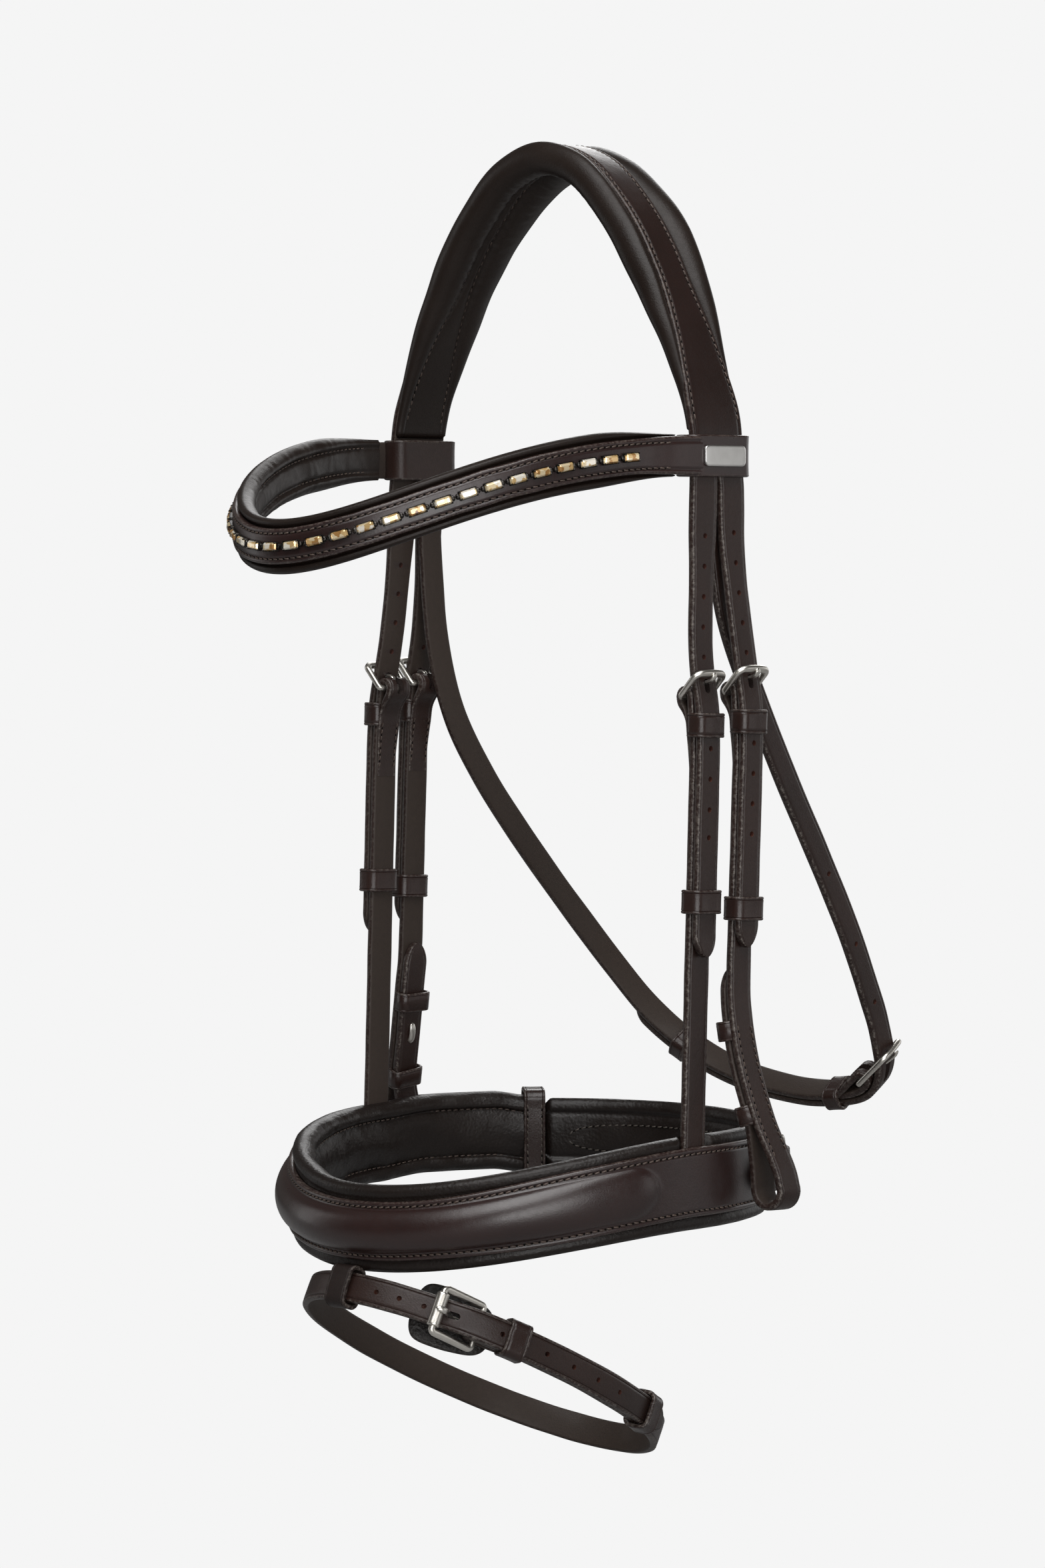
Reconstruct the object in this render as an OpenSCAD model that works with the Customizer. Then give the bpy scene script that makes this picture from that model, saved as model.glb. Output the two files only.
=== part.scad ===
// Snaffle bridle with padded headpiece, shaped browband, padded cavesson
// noseband and a flash strap. Millimetres. Origin under the crown of the
// headpiece, +X to the near (left) side, -Y to the nose, +Z up.

/* [Straps] */
// Width of the cheek, noseband and flash straps
strap_w = 12; // [11:0.5:13]
// Thickness of the strap leather
strap_t = 3; // [2.5:0.25:3]
// Diameter of the punched holes
hole_d = 2.8; // [2:0.1:3.2]
// Distance between punched holes
hole_p = 12; // [10:0.5:14]

/* [Headpiece] */
// Half width of the headpiece at the browband
head_x = 86; // [84:0.5:88]
// Half width of the crown leather at the top
crown_hw = 9.5; // [8:0.5:12]
// Half width of the crown leather inside the browband loops
leg_hw = 14.5; // [13.5:0.5:15]
// Depth of the padded rolls below the crown leather
roll_d = 11; // [9:0.5:13]

/* [Browband] */
// Forward reach of the browband from its loops
brow_y = 141; // [120:1:160]
// Dip of the browband at the forehead
brow_dip = 36; // [10:1:45]
// Half height of the browband leather
brow_hh = 7; // [6:0.5:9]
// Number of stones
stone_n = 31; // [15:2:33]
// Distance between stones
stone_p = 10.3; // [9:0.1:11]

/* [Noseband] */
// Half width of the noseband at the cheeks
nose_a = 93.6; // [92:0.2:96]
// Half length of the noseband
nose_b = 101; // [95:1:110]
// Drop of the noseband at the front
nose_drop = 18.5; // [10:0.5:26]
// Height of the rounded front pad of the noseband
nose_bulge = 5; // [2:0.5:8]

/* [Flash] */
// Half width of the flash strap loop
flash_a = 62; // [55:1:70]
// Half length of the flash strap loop
flash_b = 87.5; // [75:0.5:95]
// Slope of the flash strap loop
flash_tilt = 27; // [20:1:35]

/* [Fittings] */
// Wire radius of the buckle frames
wire_r = 1.5; // [1.2:0.1:1.8]
// Radius of the buckle heel bars
heel_r = 1.3; // [1:0.1:1.5]
// Radius of the buckle tongues
tongue_r = 1; // [0.8:0.1:1.2]
// Inner radius of the bit loops
bit_r = 5.5; // [5:0.5:7]

/* [Fits] */
// Gap between parts that move past each other
gap = 0.35; // [0.3:0.05:0.5]
// Radial clearance of a tongue or roller on its bar
run = 0.05; // [0.02:0.01:0.08]

/* [Hidden] */
$fn = 32;
t2 = strap_t/2;
hw = strap_w/2;
fold_r = heel_r + 0.2 + t2;

// ---- helpers -------------------------------------------------------------
function unit(v) = v/norm(v);
function cl(x, a, b) = min(max(x, a), b);
function smooth(x, a, b) = let (t = cl((x - a)/(b - a), 0, 1)) t*t*(3 - 2*t);
function mix(a, b, t) = a + (b - a)*t;
function crp(a, b, c, d, t) = 0.5*(2*b + (c - a)*t + (2*a - 5*b + 4*c - d)*t*t + (3*b - a - 3*c + d)*t*t*t);
function ends(P) = concat([2*P[0] - P[1]], P, [2*P[len(P) - 1] - P[len(P) - 2]]);
function spl(P, n) = let (Q = ends(P)) concat(
  [for (i = [1:len(Q) - 3]) for (k = [0:n - 1]) crp(Q[i - 1], Q[i], Q[i + 1], Q[i + 2], k/n)], [P[len(P) - 1]]);
function tang(P, i) = unit(P[min(i + 1, len(P) - 1)] - P[max(i - 1, 0)]);
function perp(w, t) = unit(w - (w*t)*t);
function basis(o, x, y, z) = [[x[0], y[0], z[0], o[0]], [x[1], y[1], z[1], o[1]], [x[2], y[2], z[2], o[2]], [0, 0, 0, 1]];
function side_of(d) = abs(d[2]) < 0.9 ? unit(cross([0, 0, 1], d)) : unit(cross([1, 0, 0], d));
function flip(P) = [for (i = [len(P) - 1:-1:0]) P[i]];

// closed rings to a solid, each ring anticlockwise about the run
module loft(R) {
  m = len(R[0]);
  n = len(R);
  polyhedron(points = [for (r = R) for (p = r) p],
    faces = concat(
      [[for (j = [0:m - 1]) j]],
      [[for (j = [m - 1:-1:0]) (n - 1)*m + j]],
      [for (i = [0:n - 2]) for (j = [0:m - 1]) [i*m + j, (i + 1)*m + (j + 1)%m, i*m + (j + 1)%m]],
      [for (i = [0:n - 2]) for (j = [0:m - 1]) [i*m + j, (i + 1)*m + j, (i + 1)*m + (j + 1)%m]]),
    convexity = 10);
}

// flat strap along P, width direction w or one for each point, half widths H, half thickness h
module ribbon(P, w, H, h) {
  loft([for (i = [0:len(P) - 1]) let (t = tang(P, i), v = perp(is_list(w[0]) ? w[i] : w, t), n = cross(v, t))
    [P[i] + v*H[i] + n*h, P[i] + v*H[i] - n*h, P[i] - v*H[i] - n*h, P[i] - v*H[i] + n*h]]);
}
// half widths with a rounded tip of radius r at the end of P
function run_len(P, i) = i >= len(P) - 1 ? 0 : norm(P[i + 1] - P[i]) + run_len(P, i + 1);
function tip_hw(P, b) = [for (i = [0:len(P) - 1]) let (s = run_len(P, i)) s >= b ? b : max(sqrt(b*b - (b - s)*(b - s)), 0.9)];

module rod(a, b, r) {
  d = unit(b - a);
  u = side_of(d);
  multmatrix(basis(a, u, cross(d, u), d)) cylinder(h = norm(b - a), r = r);
}
module buckle(a, b, w, h) {
  for (s = [-1, 1]) {
    rod(a + s*h*w, b + s*h*w, wire_r);
    translate(a + s*h*w) sphere(r = wire_r*1.12);
    translate(b + s*h*w) sphere(r = wire_r*1.12);
  }
  rod(b - h*w, b + h*w, wire_r);
  rod(a - h*w, a + h*w, heel_r);
}
// lie of a tongue from heel a over bar b of radius rb, outward side n
function tongue_dir(a, b, n, rb) = let (d = unit(b - a), o = perp(n, d), k = asin((rb + tongue_r + gap)/norm(b - a)))
  d*cos(k) + o*sin(k);
module tongue(a, b, w, n, rb) {
  d = tongue_dir(a, b, n, rb);
  l = norm(b - a) + rb + 1;
  difference() {
    union() {
      rod(a - 1.5*w, a + 1.5*w, heel_r + run + 0.95);
      rod(a, a + l*d, tongue_r);
      translate(a + l*d) sphere(r = tongue_r*1.1);
    }
    rod(a - 3*w, a + 3*w, heel_r + run);
  }
}
// box tube: o centre, n outward, w across, t along; cavity n0..n1 by 2*cw, length l, wall k
module tube(o, n, w, t, n0, n1, cw, l, k) {
  multmatrix(basis(o, n, w, t)) difference() {
    translate([n0 - k, -cw - k, -l/2]) cube([n1 - n0 + 2*k, 2*cw + 2*k, l]);
    translate([n0, -cw, -l]) cube([n1 - n0, 2*cw, 2*l]);
  }
}
module slab(o, n, w, t, sn, sw, st) {
  multmatrix(basis(o, n, w, t)) cube([sn, sw, st], center = true);
}
// fold round a heel at h: n outward, t along the strap, l length of the turned-in end
function fold(h, n, t, r, l) = concat([h - r*n + l*t, h - r*n + l/2*t],
  [for (a = [180:-30:0]) h + r*(cos(a)*n - sin(a)*t)]);

// ---- headpiece -------------------------------------------------------------
arch_half = [[86, -129.2], [86, -112], [84, -100], [79, -84], [71, -63], [56, -34], [41, -14], [22.5, 2.2], [0, 8.5]];
arch_side = [for (p = arch_half) [p[0]*head_x/86, 0, p[1]]];
ARCH = spl(concat(arch_side, [for (i = [len(arch_side) - 2:-1:0]) [-arch_side[i][0], 0, arch_side[i][2]]]), 4);
function arch_hw(z) = mix(crown_hw, leg_hw, smooth(-z, 40, 100));
module headpiece_leather() color("#33241f") {
  ribbon(ARCH, [0, 1, 0], [for (p = ARCH) arch_hw(p[2])], t2);
  for (s = [-1, 1]) translate([s*(head_x - 2.95) - 1.75, -2, -128.4]) cube([3.5, 12, 20.2]);
}
// padded cushion outline across the headpiece: [across, inward]
function cushion(b, k) = let (y = b + 7*k, d = roll_d*k, c = 2.2 + 6.3*k)
  [[-y, -4.8*k], [-y + 1.8*k, -0.83*d], [-y + 6.2*k, -d], [-y + 10*k, -0.86*d], [-2, -c], [2, -c],
   [y - 10*k, -0.86*d], [y - 6.2*k, -d], [y - 1.8*k, -0.83*d], [y, -4.8*k], [y - 1.8*k, -0.4], [b + 2.6*k, 0.8*k],
   [b + 0.25, 0.2*k], [b + 0.25, -1.65], [-b - 0.25, -1.65], [-b - 0.25, 0.2*k], [-b - 2.6*k, 0.8*k], [-y + 1.8*k, -0.4]];
module headpiece_padding() color("#231d1a") {
  I = [for (i = [0:len(ARCH) - 1]) if (ARCH[i][2] > -100) i];
  loft([for (i = I) let (p = ARCH[i], t = tang(ARCH, i), n = cross([0, 1, 0], t), b = arch_hw(p[2]), k = mix(1, 0.5, smooth(-p[2], 40, 98)))
    [for (q = flip(cushion(b, k))) p + [0, q[0], 0] + n*q[1]]]);
}

// ---- browband ----------------------------------------------------------------
brow_x = head_x + 1;
brow_z = -117.8;
function brow(t) = [brow_x*cos(t), -17.9 - brow_y*sin(t), brow_z - brow_dip*pow(sin(t), 2.3)];
function brow_n(t) = unit([brow_y*cos(t), -brow_x*sin(t), 0]);
brow_s = [for (i = [0:60]) i*3];
module brow_band(S) loft([for (t = brow_s) let (p = brow(t), n = brow_n(t)) [for (q = S) p + n*q[0] + [0, 0, q[1]]]]);
module browband_leather() color("#3a2722")
  brow_band([[-1.5, -brow_hh], [1.1, -brow_hh], [1.5, -brow_hh + 1], [1.5, brow_hh - 1], [1.1, brow_hh], [-1.5, brow_hh]]);
module browband_padding() color("#231d1a") let (h = brow_hh + 2.4)
  brow_band([[-1.65, -h], [-1.65, h], [-4, h + 0.6], [-6.5, h - 1], [-7.6, h - 4], [-7.6, -h + 4], [-6.5, -h + 1], [-4, -h - 0.6]]);
module browband_loop() tube([head_x - 1.65, 0, brow_z], [1, 0, 0], [0, 1, 0], [0, 0, 1], -3.45 - gap, 3.15 + gap, leg_hw + gap, 16.6, 2.6);
module near_browband_loop() color("#33241f") browband_loop();
module far_browband_loop() color("#33241f") mirror([1, 0, 0]) browband_loop();
module browband_setting() color("#1a1816") {
  T = [for (i = [4:56]) i*3];
  loft([for (t = T) let (p = brow(t), n = brow_n(t)) [for (q = [[1.6, -1.9], [2.4, -1.9], [2.4, 1.9], [1.6, 1.9]]) p + n*q[0] + [0, 0, q[1]]]]);
}
brow_len = [for (i = 0, s = 0; i <= 90; i = i + 1, s = s + norm(brow(90 - i + 1) - brow(90 - i))) [s, i]];
module browband_stones() color("#d9b36a") {
  for (k = [0:stone_n - 1]) let (j = k - (stone_n - 1)/2, a = lookup(abs(j)*stone_p, brow_len)*(j < 0 ? -1 : 1), t = 90 + a,
      p = brow(t), n = brow_n(t), d = perp(brow(t + 1) - brow(t - 1), n), w = cross(n, d))
    multmatrix(basis(p + n*2.5, d, w, n)) translate([-3.6, -1.6, 0]) cube([7.2, 3.2, 2.2]);
}
module browband_plate() color("#c9c9c6") multmatrix(basis([head_x - 1.65 + 3.15 + gap + 2.75, 0, brow_z], [0, 1, 0], [0, 0, 1], [1, 0, 0]))
  linear_extrude(1) offset(2) square([19.5, 4.4], center = true);

// ---- cheek side frames ---------------------------------------------------------
nose_o = [91.5, -13.2, -213.5];
nose_tilt = -1.9;
cheek_o = [94.8, 8.6, -212];
cheek_tilt = -2.2;
module on_nose() translate(nose_o) rotate([nose_tilt, 0, 0]) children();
module on_cheek() translate(cheek_o) rotate([cheek_tilt, 0, 0]) children();
module far() mirror([1, 0, 0]) children();

heel = [-5, 0, 0];
tail_x = strap_t + 0.4;
function bar(z) = [3.4, 0, z];
lower_top = concat(fold(heel, [1, 0, 0], [0, 0, -1], fold_r, 17), spl([[-2, 0, -1.5], [-1.3, 0, -8], [-0.4, 0, -17], [0, 0, -26]], 2));
over = [[tail_x, 0, -26], [3.25, 0, -18], [2.7, 0, -8], [1.5, 0, 0], [-0.6, 0, 9]];
module holes(P, n) for (p = P) rod(p - 4*n, p + 4*n, hole_d/2);

// billet: upper run above the buckle, lie over the heel, tail with a rounded tip
module billet(upper, tip) {
  L = spl(concat(upper, flip(over)), 4);
  P = concat(L, [for (k = [1:6]) [tail_x, 0, mix(-26, tip + hw, k/6)]], [for (k = [1:5]) [tail_x, 0, tip + hw*cos(k*18)]]);
  difference() {
    ribbon(P, [0, 1, 0], [for (i = [0:len(P) - 1]) let (z = P[i][2]) z < tip + hw + 0.01 ? max(sqrt(max(hw*hw - pow(tip + hw - z, 2), 0)), 0.9) : mix(hw, 7, smooth(z, 38, 76))], t2);
    translate([-6, -1.45, -1]) cube([12, 2.9, 8.2]);
    for (k = [1:3]) translate([0, 0, 6 + k*hole_p]) rotate([0, 90, 0]) cylinder(h = 24, r = hole_d/2, center = true);
    for (k = [2:5]) translate([tail_x, 0, 4 - k*hole_p]) rotate([0, 90, 0]) cylinder(h = 8, r = hole_d/2, center = true);
  }
}
module heel_slot() translate(heel) cube([9.8, 3.8, 9.8], center = true);
module side_keeper(z) tube([0, 0, z], [1, 0, 0], [0, 1, 0], [0, 0, 1], -3.4, tail_x + t2 + 0.25, hw + 0.25, 9.6, 1.4);
module side_runner(z) tube([0, 0, z], [1, 0, 0], [0, 1, 0], [0, 0, 1], -t2 - gap, tail_x + t2 + gap, hw + gap, 9.4, 1.6);

// noseband cheek straps
nose_up = [[-5, 2.6, 82.4], [-5, 2.6, 64], [-5, 1.6, 46], [-4.4, 0.6, 32], [-2.8, 0.1, 20]];
module nose_billet() on_nose() billet(nose_up, -103);
module nose_strap() on_nose() difference() {
  let (P = concat(lower_top, [[0, 0, -60], [0, 0, -120], [0, 0, -196]])) ribbon(P, [0, 1, 0], [for (p = P) hw], t2);
  heel_slot();
}
module nose_buckle() on_nose() buckle(heel, bar(9), [0, 1, 0], 8);
module nose_tongue() on_nose() tongue(heel, bar(9), [0, 1, 0], [1, 0, 0], wire_r);
module near_nose_billet() color("#33241f") nose_billet();
module far_nose_billet() color("#33241f") far() nose_billet();
module near_nose_strap() color("#33241f") nose_strap();
module far_nose_strap() color("#33241f") far() nose_strap();
module near_nose_buckle() color("#b9b6ae") nose_buckle();
module far_nose_buckle() color("#b9b6ae") far() nose_buckle();
module near_nose_tongue() color("#b9b6ae") nose_tongue();
module far_nose_tongue() color("#b9b6ae") far() nose_tongue();
module near_nose_keeper() color("#33241f") on_nose() side_keeper(-11);
module far_nose_keeper() color("#33241f") far() on_nose() side_keeper(-11);
module near_nose_runner() color("#33241f") on_nose() side_runner(-81);
module far_nose_runner() color("#33241f") far() on_nose() side_runner(-81);

// bit cheekpieces
cheek_up = [[-8.3, -3.8, 80.9], [-8.3, -3.7, 62], [-7.6, -2.2, 46], [-5.4, -0.8, 32], [-3, -0.2, 20]];
bit_m = bit_r + t2;
bit_c = [18.5 - bit_m, 10.5, -196];
outer_run = [[0, 0, -26], [0, 0, -70], [0, 0, -112], [1.4, 0, -128], [5, 1.6, -148], [11, 5.2, -170], [17.2, 9.4, -188], [18.6, 10.5, -196]];
inner_run = [[-3.4, 0, -110], [-3.3, 0, -116], [-2, 0, -129], [1.4, 1.6, -149], [6.6, 5.2, -170], [5.6, 9.6, -187], [18.4 - 2*bit_m, 10.5, -196]];
OUT = concat(spl(outer_run, 6), [bit_c + [bit_m + 0.1, 0, -0.5]]);
INN = concat(spl(inner_run, 6), [bit_c + [-bit_m - 0.1, 0, -0.5]]);
module cheek_billet() on_cheek() billet(cheek_up, -101.5);
module cheekpiece() on_cheek() difference() {
  union() {
    let (P = concat(lower_top, [for (i = [1:len(OUT) - 1]) OUT[i]])) ribbon(P, [0, 1, 0], [for (p = P) hw], t2);
    ribbon(INN, [0, 1, 0], [for (p = INN) p[2] > -110 - hw ? max(sqrt(max(hw*hw - pow(p[2] + 110 + hw, 2), 0)), 1.2) : hw], t2);
    translate(bit_c) rotate([90, 0, 0]) rotate_extrude(angle = -180, $fn = 48) translate([bit_r, -hw - 0.1]) square([strap_t + 0.2, strap_w + 0.2]);
  }
  heel_slot();
  stud_at() translate([0, 0, -8]) cylinder(h = 11.6, r = 2);
}
// stud on the inside of the cheekpiece
stud_p = [5.6, 1.9, -150];
stud_n = unit([1, 0, 0.28]);
module stud_at() multmatrix(basis(stud_p - 3.6*stud_n, cross([0, 1, 0], stud_n), [0, 1, 0], stud_n)) children();
module hook_stud() on_cheek() stud_at() {
  translate([0, 0, -3.2]) cylinder(h = 6.5, r = 1.5);
  translate([0, 0, -3.4]) cylinder(h = 1.4, r = 3);
}
module bit_keeper(i) {
  p = OUT[i];
  t = -tang(OUT, i);
  w = perp([0, 1, 0], t);
  n = cross(w, t);
  multmatrix(basis(p, n, w, t)) difference() {
    translate([-7.8, -hw - 2, -4]) cube([8.7, strap_w + 4, 8]);
    translate([-6.3, -hw - 0.6, -5]) cube([9, strap_w + 1.2, 10]);
  }
}
module bit_keepers() on_cheek() { bit_keeper(20); bit_keeper(29); }
module near_cheek_billet() color("#33241f") cheek_billet();
module far_cheek_billet() color("#33241f") far() cheek_billet();
module near_cheekpiece() color("#33241f") cheekpiece();
module far_cheekpiece() color("#33241f") far() cheekpiece();
module near_cheek_buckle() color("#b9b6ae") on_cheek() buckle(heel, bar(9), [0, 1, 0], 8);
module far_cheek_buckle() color("#b9b6ae") far() on_cheek() buckle(heel, bar(9), [0, 1, 0], 8);
module near_cheek_tongue() color("#b9b6ae") on_cheek() tongue(heel, bar(9), [0, 1, 0], [1, 0, 0], wire_r);
module far_cheek_tongue() color("#b9b6ae") far() on_cheek() tongue(heel, bar(9), [0, 1, 0], [1, 0, 0], wire_r);
module near_cheek_keeper() color("#33241f") on_cheek() side_keeper(-11.5);
module far_cheek_keeper() color("#33241f") far() on_cheek() side_keeper(-11.5);
module near_cheek_runner() color("#33241f") on_cheek() side_runner(-86);
module far_cheek_runner() color("#33241f") far() on_cheek() side_runner(-86);
module near_bit_keepers() color("#33241f") bit_keepers();
module far_bit_keepers() color("#33241f") far() bit_keepers();
module near_hook_stud() color("#b9b6ae") hook_stud();
module far_hook_stud() color("#b9b6ae") far() hook_stud();

// ---- throatlash ------------------------------------------------------------------
throat_run = [[82.8, 4, -132.3], [82.8, 5, -155], [82.5, 12, -185], [80.5, 31, -218], [78, 52, -250], [75, 75, -282], [71.5, 97, -313],
  [68, 114, -340], [66, 122.5, -355], [62.5, 128.5, -370], [52, 131, -381], [32, 130, -385], [9, 128.5, -384.5], [-20, 126, -379],
  [-42, 120, -368], [-58, 113, -354], [-70, 104, -336], [-77, 92, -318], [-80, 75, -298], [-80.5, 53, -274], [-81, 34, -251],
  [-82, 18, -225], [-82.8, 9, -195], [-82.8, 5, -160], [-82.8, 4, -132.3]];
TH = spl(throat_run, 5);
throat_w = [0, 0.83, 0.55];
throat_hw = 5.8;
function th_t(i) = tang(TH, i);
function th_w(i) = perp(throat_w, th_t(i));
function th_n(i) = cross(th_t(i), th_w(i));
function th(i, o) = TH[i] + o*th_n(i);
th_i = 49;
th_b = 43;
th_heel = th(th_i, -fold_r);
th_bar = th(th_b, 4.7);
th_off = [[0, 0], [39, 0], [43, 0.4], [46, 2.3], [49, 3.5], [80, 3.5]];
module throat_strap() color("#33241f") difference() {
  let (K = fold(th_heel, th_n(th_i), th_t(th_i), fold_r, 8), P = concat(K, [for (i = [th_i + 1:len(TH) - 1]) TH[i]]))
    ribbon(P, [for (i = [0:len(P) - 1]) i < len(K) ? th_w(th_i) : throat_w], [for (p = P) throat_hw], t2);
  slab(th_heel, th_n(th_i), th_w(th_i), th_t(th_i), 9.8, 3.8, 9.8);
}
module throat_billet() color("#33241f") difference() {
  let (P = [for (i = [0:76]) th(i, lookup(i, th_off))]) ribbon(P, throat_w, tip_hw(P, throat_hw), t2);
  slab(mix(th(45, 1.6), th(46, 2.3), 0.5), th_n(46), th_w(th_i), th_t(46), 10, 3.2, 16);
  for (i = [26, 31, 36]) rod(th(i, -4), th(i, 4), hole_d/2);
}
module throat_buckle() color("#b9b6ae") buckle(th_heel, th_bar, th_w(th_i), 8);
module throat_tongue() color("#b9b6ae") tongue(th_heel, th_bar, th_w(th_i), th_n(46), wire_r);
module throat_keeper() color("#33241f") tube(TH[54], th_n(54), th_w(54), th_t(54), -t2 - 0.35, 3.5 + t2 + 0.35, throat_hw + 0.3, 8, 1.4);
module throat_runner() color("#33241f") tube(TH[70], th_n(70), th_w(70), th_t(70), -t2 - 0.9, 3.5 + t2 + 0.9, throat_hw + 0.6, 7, 1.4);

// ---- noseband ----------------------------------------------------------------------
function nz(f) = -405.5 - nose_drop*pow(max(cos(f), 0), 1.8);
function nb_n(f) = unit([nose_b*sin(f), -nose_a*cos(f), 0]);
function nb(f, n, z) = [nose_a*sin(f), -17 - nose_b*cos(f), nz(f) + z] + n*nb_n(f);
function nb_t(f) = unit([nose_a*cos(f), nose_b*sin(f), 0]);
function nb_hh(f) = mix(11.7, 13.9, smooth(abs(f), 18, 58));
function nb_bulge(f) = nose_bulge*(1 - smooth(abs(f), 64, 80));
module noseband_leather() color("#3a2722") loft([for (f = [-138:4:126]) let (h = nb_hh(f), b = nb_bulge(f))
  [for (q = [[0, -h], [0, h], [2.2, h], [2.6, h - 3.4], [2.6 + 0.7*b, 0.5*h], [2.6 + b, 0], [2.6 + 0.7*b, -0.5*h], [2.6, -h + 3.4], [2.2, -h]]) nb(f, q[0], q[1])]]);
function liner(h, d) = [[-0.15, -h], [-0.4*d, -h - 1.2], [-0.85*d, -h], [-d, -h + 3], [-0.82*d, -h + 6.5], [-0.92*d, 0], [-0.82*d, h - 6.5], [-d, h - 3], [-0.85*d, h], [-0.4*d, h + 1.2], [-0.15, h]];
module noseband_padding() color("#231d1a") difference() {
  loft([for (f = [-138:4:126]) [for (q = liner(16.5, 8.5)) nb(f, q[0], q[1] + 3*pow(max(cos(f), 0), 1.5))]]);
  for (s = [-1, 1]) translate([s*92.8 - 3.2, -25.9, -411.6]) cube([6.4, 13, 40]);
}
module noseband_loop() color("#33241f") tube(nb(-133, 0, 0), nb_n(-133), [0, 0, 1], nb_t(-133), -8.9, 6.4, 18.2, 9, 1.5);
module chin_pad() color("#231d1a") loft([for (f = [140.5:3.5:217.5]) [for (q = liner(13, 7)) nb(f, q[0], q[1] - 1)]]);
chin_hw = 7.5;
chin_off = [[111, 7.2], [131.5, 7.2], [136, 4.3], [141, 1.8], [145, 1.65], [210, 1.65], [222, 4.5], [240, 4.5]];
module chin_strap() color("#33241f") difference() {
  let (P = flip([for (f = concat([for (a = [110:1:116]) a], [for (a = [119:3:239]) a])) nb(f, lookup(f, chin_off), -1)])) ribbon(P, [0, 0, 1], tip_hw(P, chin_hw), t2);
  slab(nb(134.6, 5.2, -1), nb_n(134.6), [0, 0, 1], nb_t(134.6), 9, 2.9, 10);
}
chin_heel = nb(131.5, 1.3, -1);
chin_bar = nb(140, 5.5, -1);
module chin_chape() color("#33241f") difference() {
  let (h = 1.25, r = heel_r + 0.2 + h, P = concat([for (f = [113:2:129]) nb(f, 4.05, -1)],
      flip([for (a = [180:-30:0]) chin_heel + r*(cos(a)*nb_n(131.5) + sin(a)*nb_t(131.5))]), [chin_heel - r*nb_n(131.5) - 3*nb_t(131.5)]))
    ribbon(P, [0, 0, 1], [for (p = P) chin_hw - 0.5], h);
  slab(chin_heel, nb_n(131.5), [0, 0, 1], nb_t(131.5), 8.6, 3.8, 8.6);
}
module chin_buckle() color("#b9b6ae") buckle(chin_heel, chin_bar, [0, 0, 1], 9.6);
module chin_tongue() color("#b9b6ae") tongue(chin_heel, chin_bar, [0, 0, 1], nb_n(136), wire_r);

// ---- flash ---------------------------------------------------------------------------
flash_y = -122.4;
flash_z = -446.4;
function fl_n(f) = unit([flash_b*sin(f), -flash_a*cos(f)*cos(flash_tilt), flash_a*cos(f)*sin(flash_tilt)]);
function fl_t(f) = unit([flash_a*cos(f), flash_b*sin(f)*cos(flash_tilt), -flash_b*sin(f)*sin(flash_tilt)]);
fl_w = [0, sin(flash_tilt), cos(flash_tilt)];
function fl(f, o) = [flash_a*sin(f), flash_y + flash_b*(1 - cos(f))*cos(flash_tilt), flash_z - flash_b*(1 - cos(f))*sin(flash_tilt)] + o*fl_n(f);
fl_h = 50;
fl_b = 36.5;
fl_heel = fl(fl_h, -fold_r);
fl_bar = fl(fl_b, 4.9);
roll_r = 2.6;
fl_off = [[360, 0], [384, 0], [396.5, 0.3], [403, 1.8], [410, 3.45], [490, 3.45]];
module flash_strap() color("#33241f") difference() {
  let (P = concat(fold(fl_heel, fl_n(fl_h), fl_t(fl_h), fold_r, 7), [for (f = [54:4:358]) fl(f, 0)], [for (f = [360:3:477]) fl(f, lookup(f, fl_off))], [for (f = [479:1:485]) fl(f, 3.45)]))
    ribbon(P, fl_w, tip_hw(P, hw), t2);
  slab(fl_heel, fl_n(fl_h), fl_w, fl_t(fl_h), 9.8, 3.8, 9.8);
  slab(fl(45.6, 2.2), fl_n(45.6), fl_w, fl_t(45.6), 7, 2.9, 10.5);
  for (f = [12, 20, 28, 70, 79, 88, 97]) rod(fl(f, f > 60 ? 1.7 : -4), fl(f, 8), hole_d/2);
}
module flash_buckle() color("#b9b6ae") buckle(fl_heel, fl_bar, fl_w, 9);
module flash_roller() color("#cfccc4") difference() {
  rod(fl_bar - 6.9*fl_w, fl_bar + 6.9*fl_w, roll_r);
  rod(fl_bar - 9*fl_w, fl_bar + 9*fl_w, wire_r + run);
}
module flash_tongue() color("#b9b6ae") tongue(fl_heel, fl_bar, fl_w, fl_n(43), roll_r);
module flash_safe() color("#2a201c") { F = [for (f = [30:2:56]) f]; ribbon([for (f = F) fl(f, -8.9)], fl_w, [for (f = F) 11 - 3*pow(abs(f - 43)/13, 3)], 1); }
module flash_keeper() color("#33241f") tube(fl(60.5, 0), fl_n(60.5), fl_w, fl_t(60.5), -t2 - 0.3, 3.45 + t2 + 0.35, hw + 0.2, 9.5, 1.4);
module flash_runner() color("#33241f") tube(fl(114, 0), fl_n(114), fl_w, fl_t(114), -t2 - 0.9, 3.45 + t2 + 0.9, hw + 0.5, 9, 1.5);
module flash_tab() color("#33241f") let (k = flash_tilt - 5, w = [0, sin(k), cos(k)], n = [0, -cos(k), sin(k)])
  tube([0, flash_y, flash_z], n, w, [1, 0, 0], -3.1, 3.1, 7, 11, 1.5);

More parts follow.
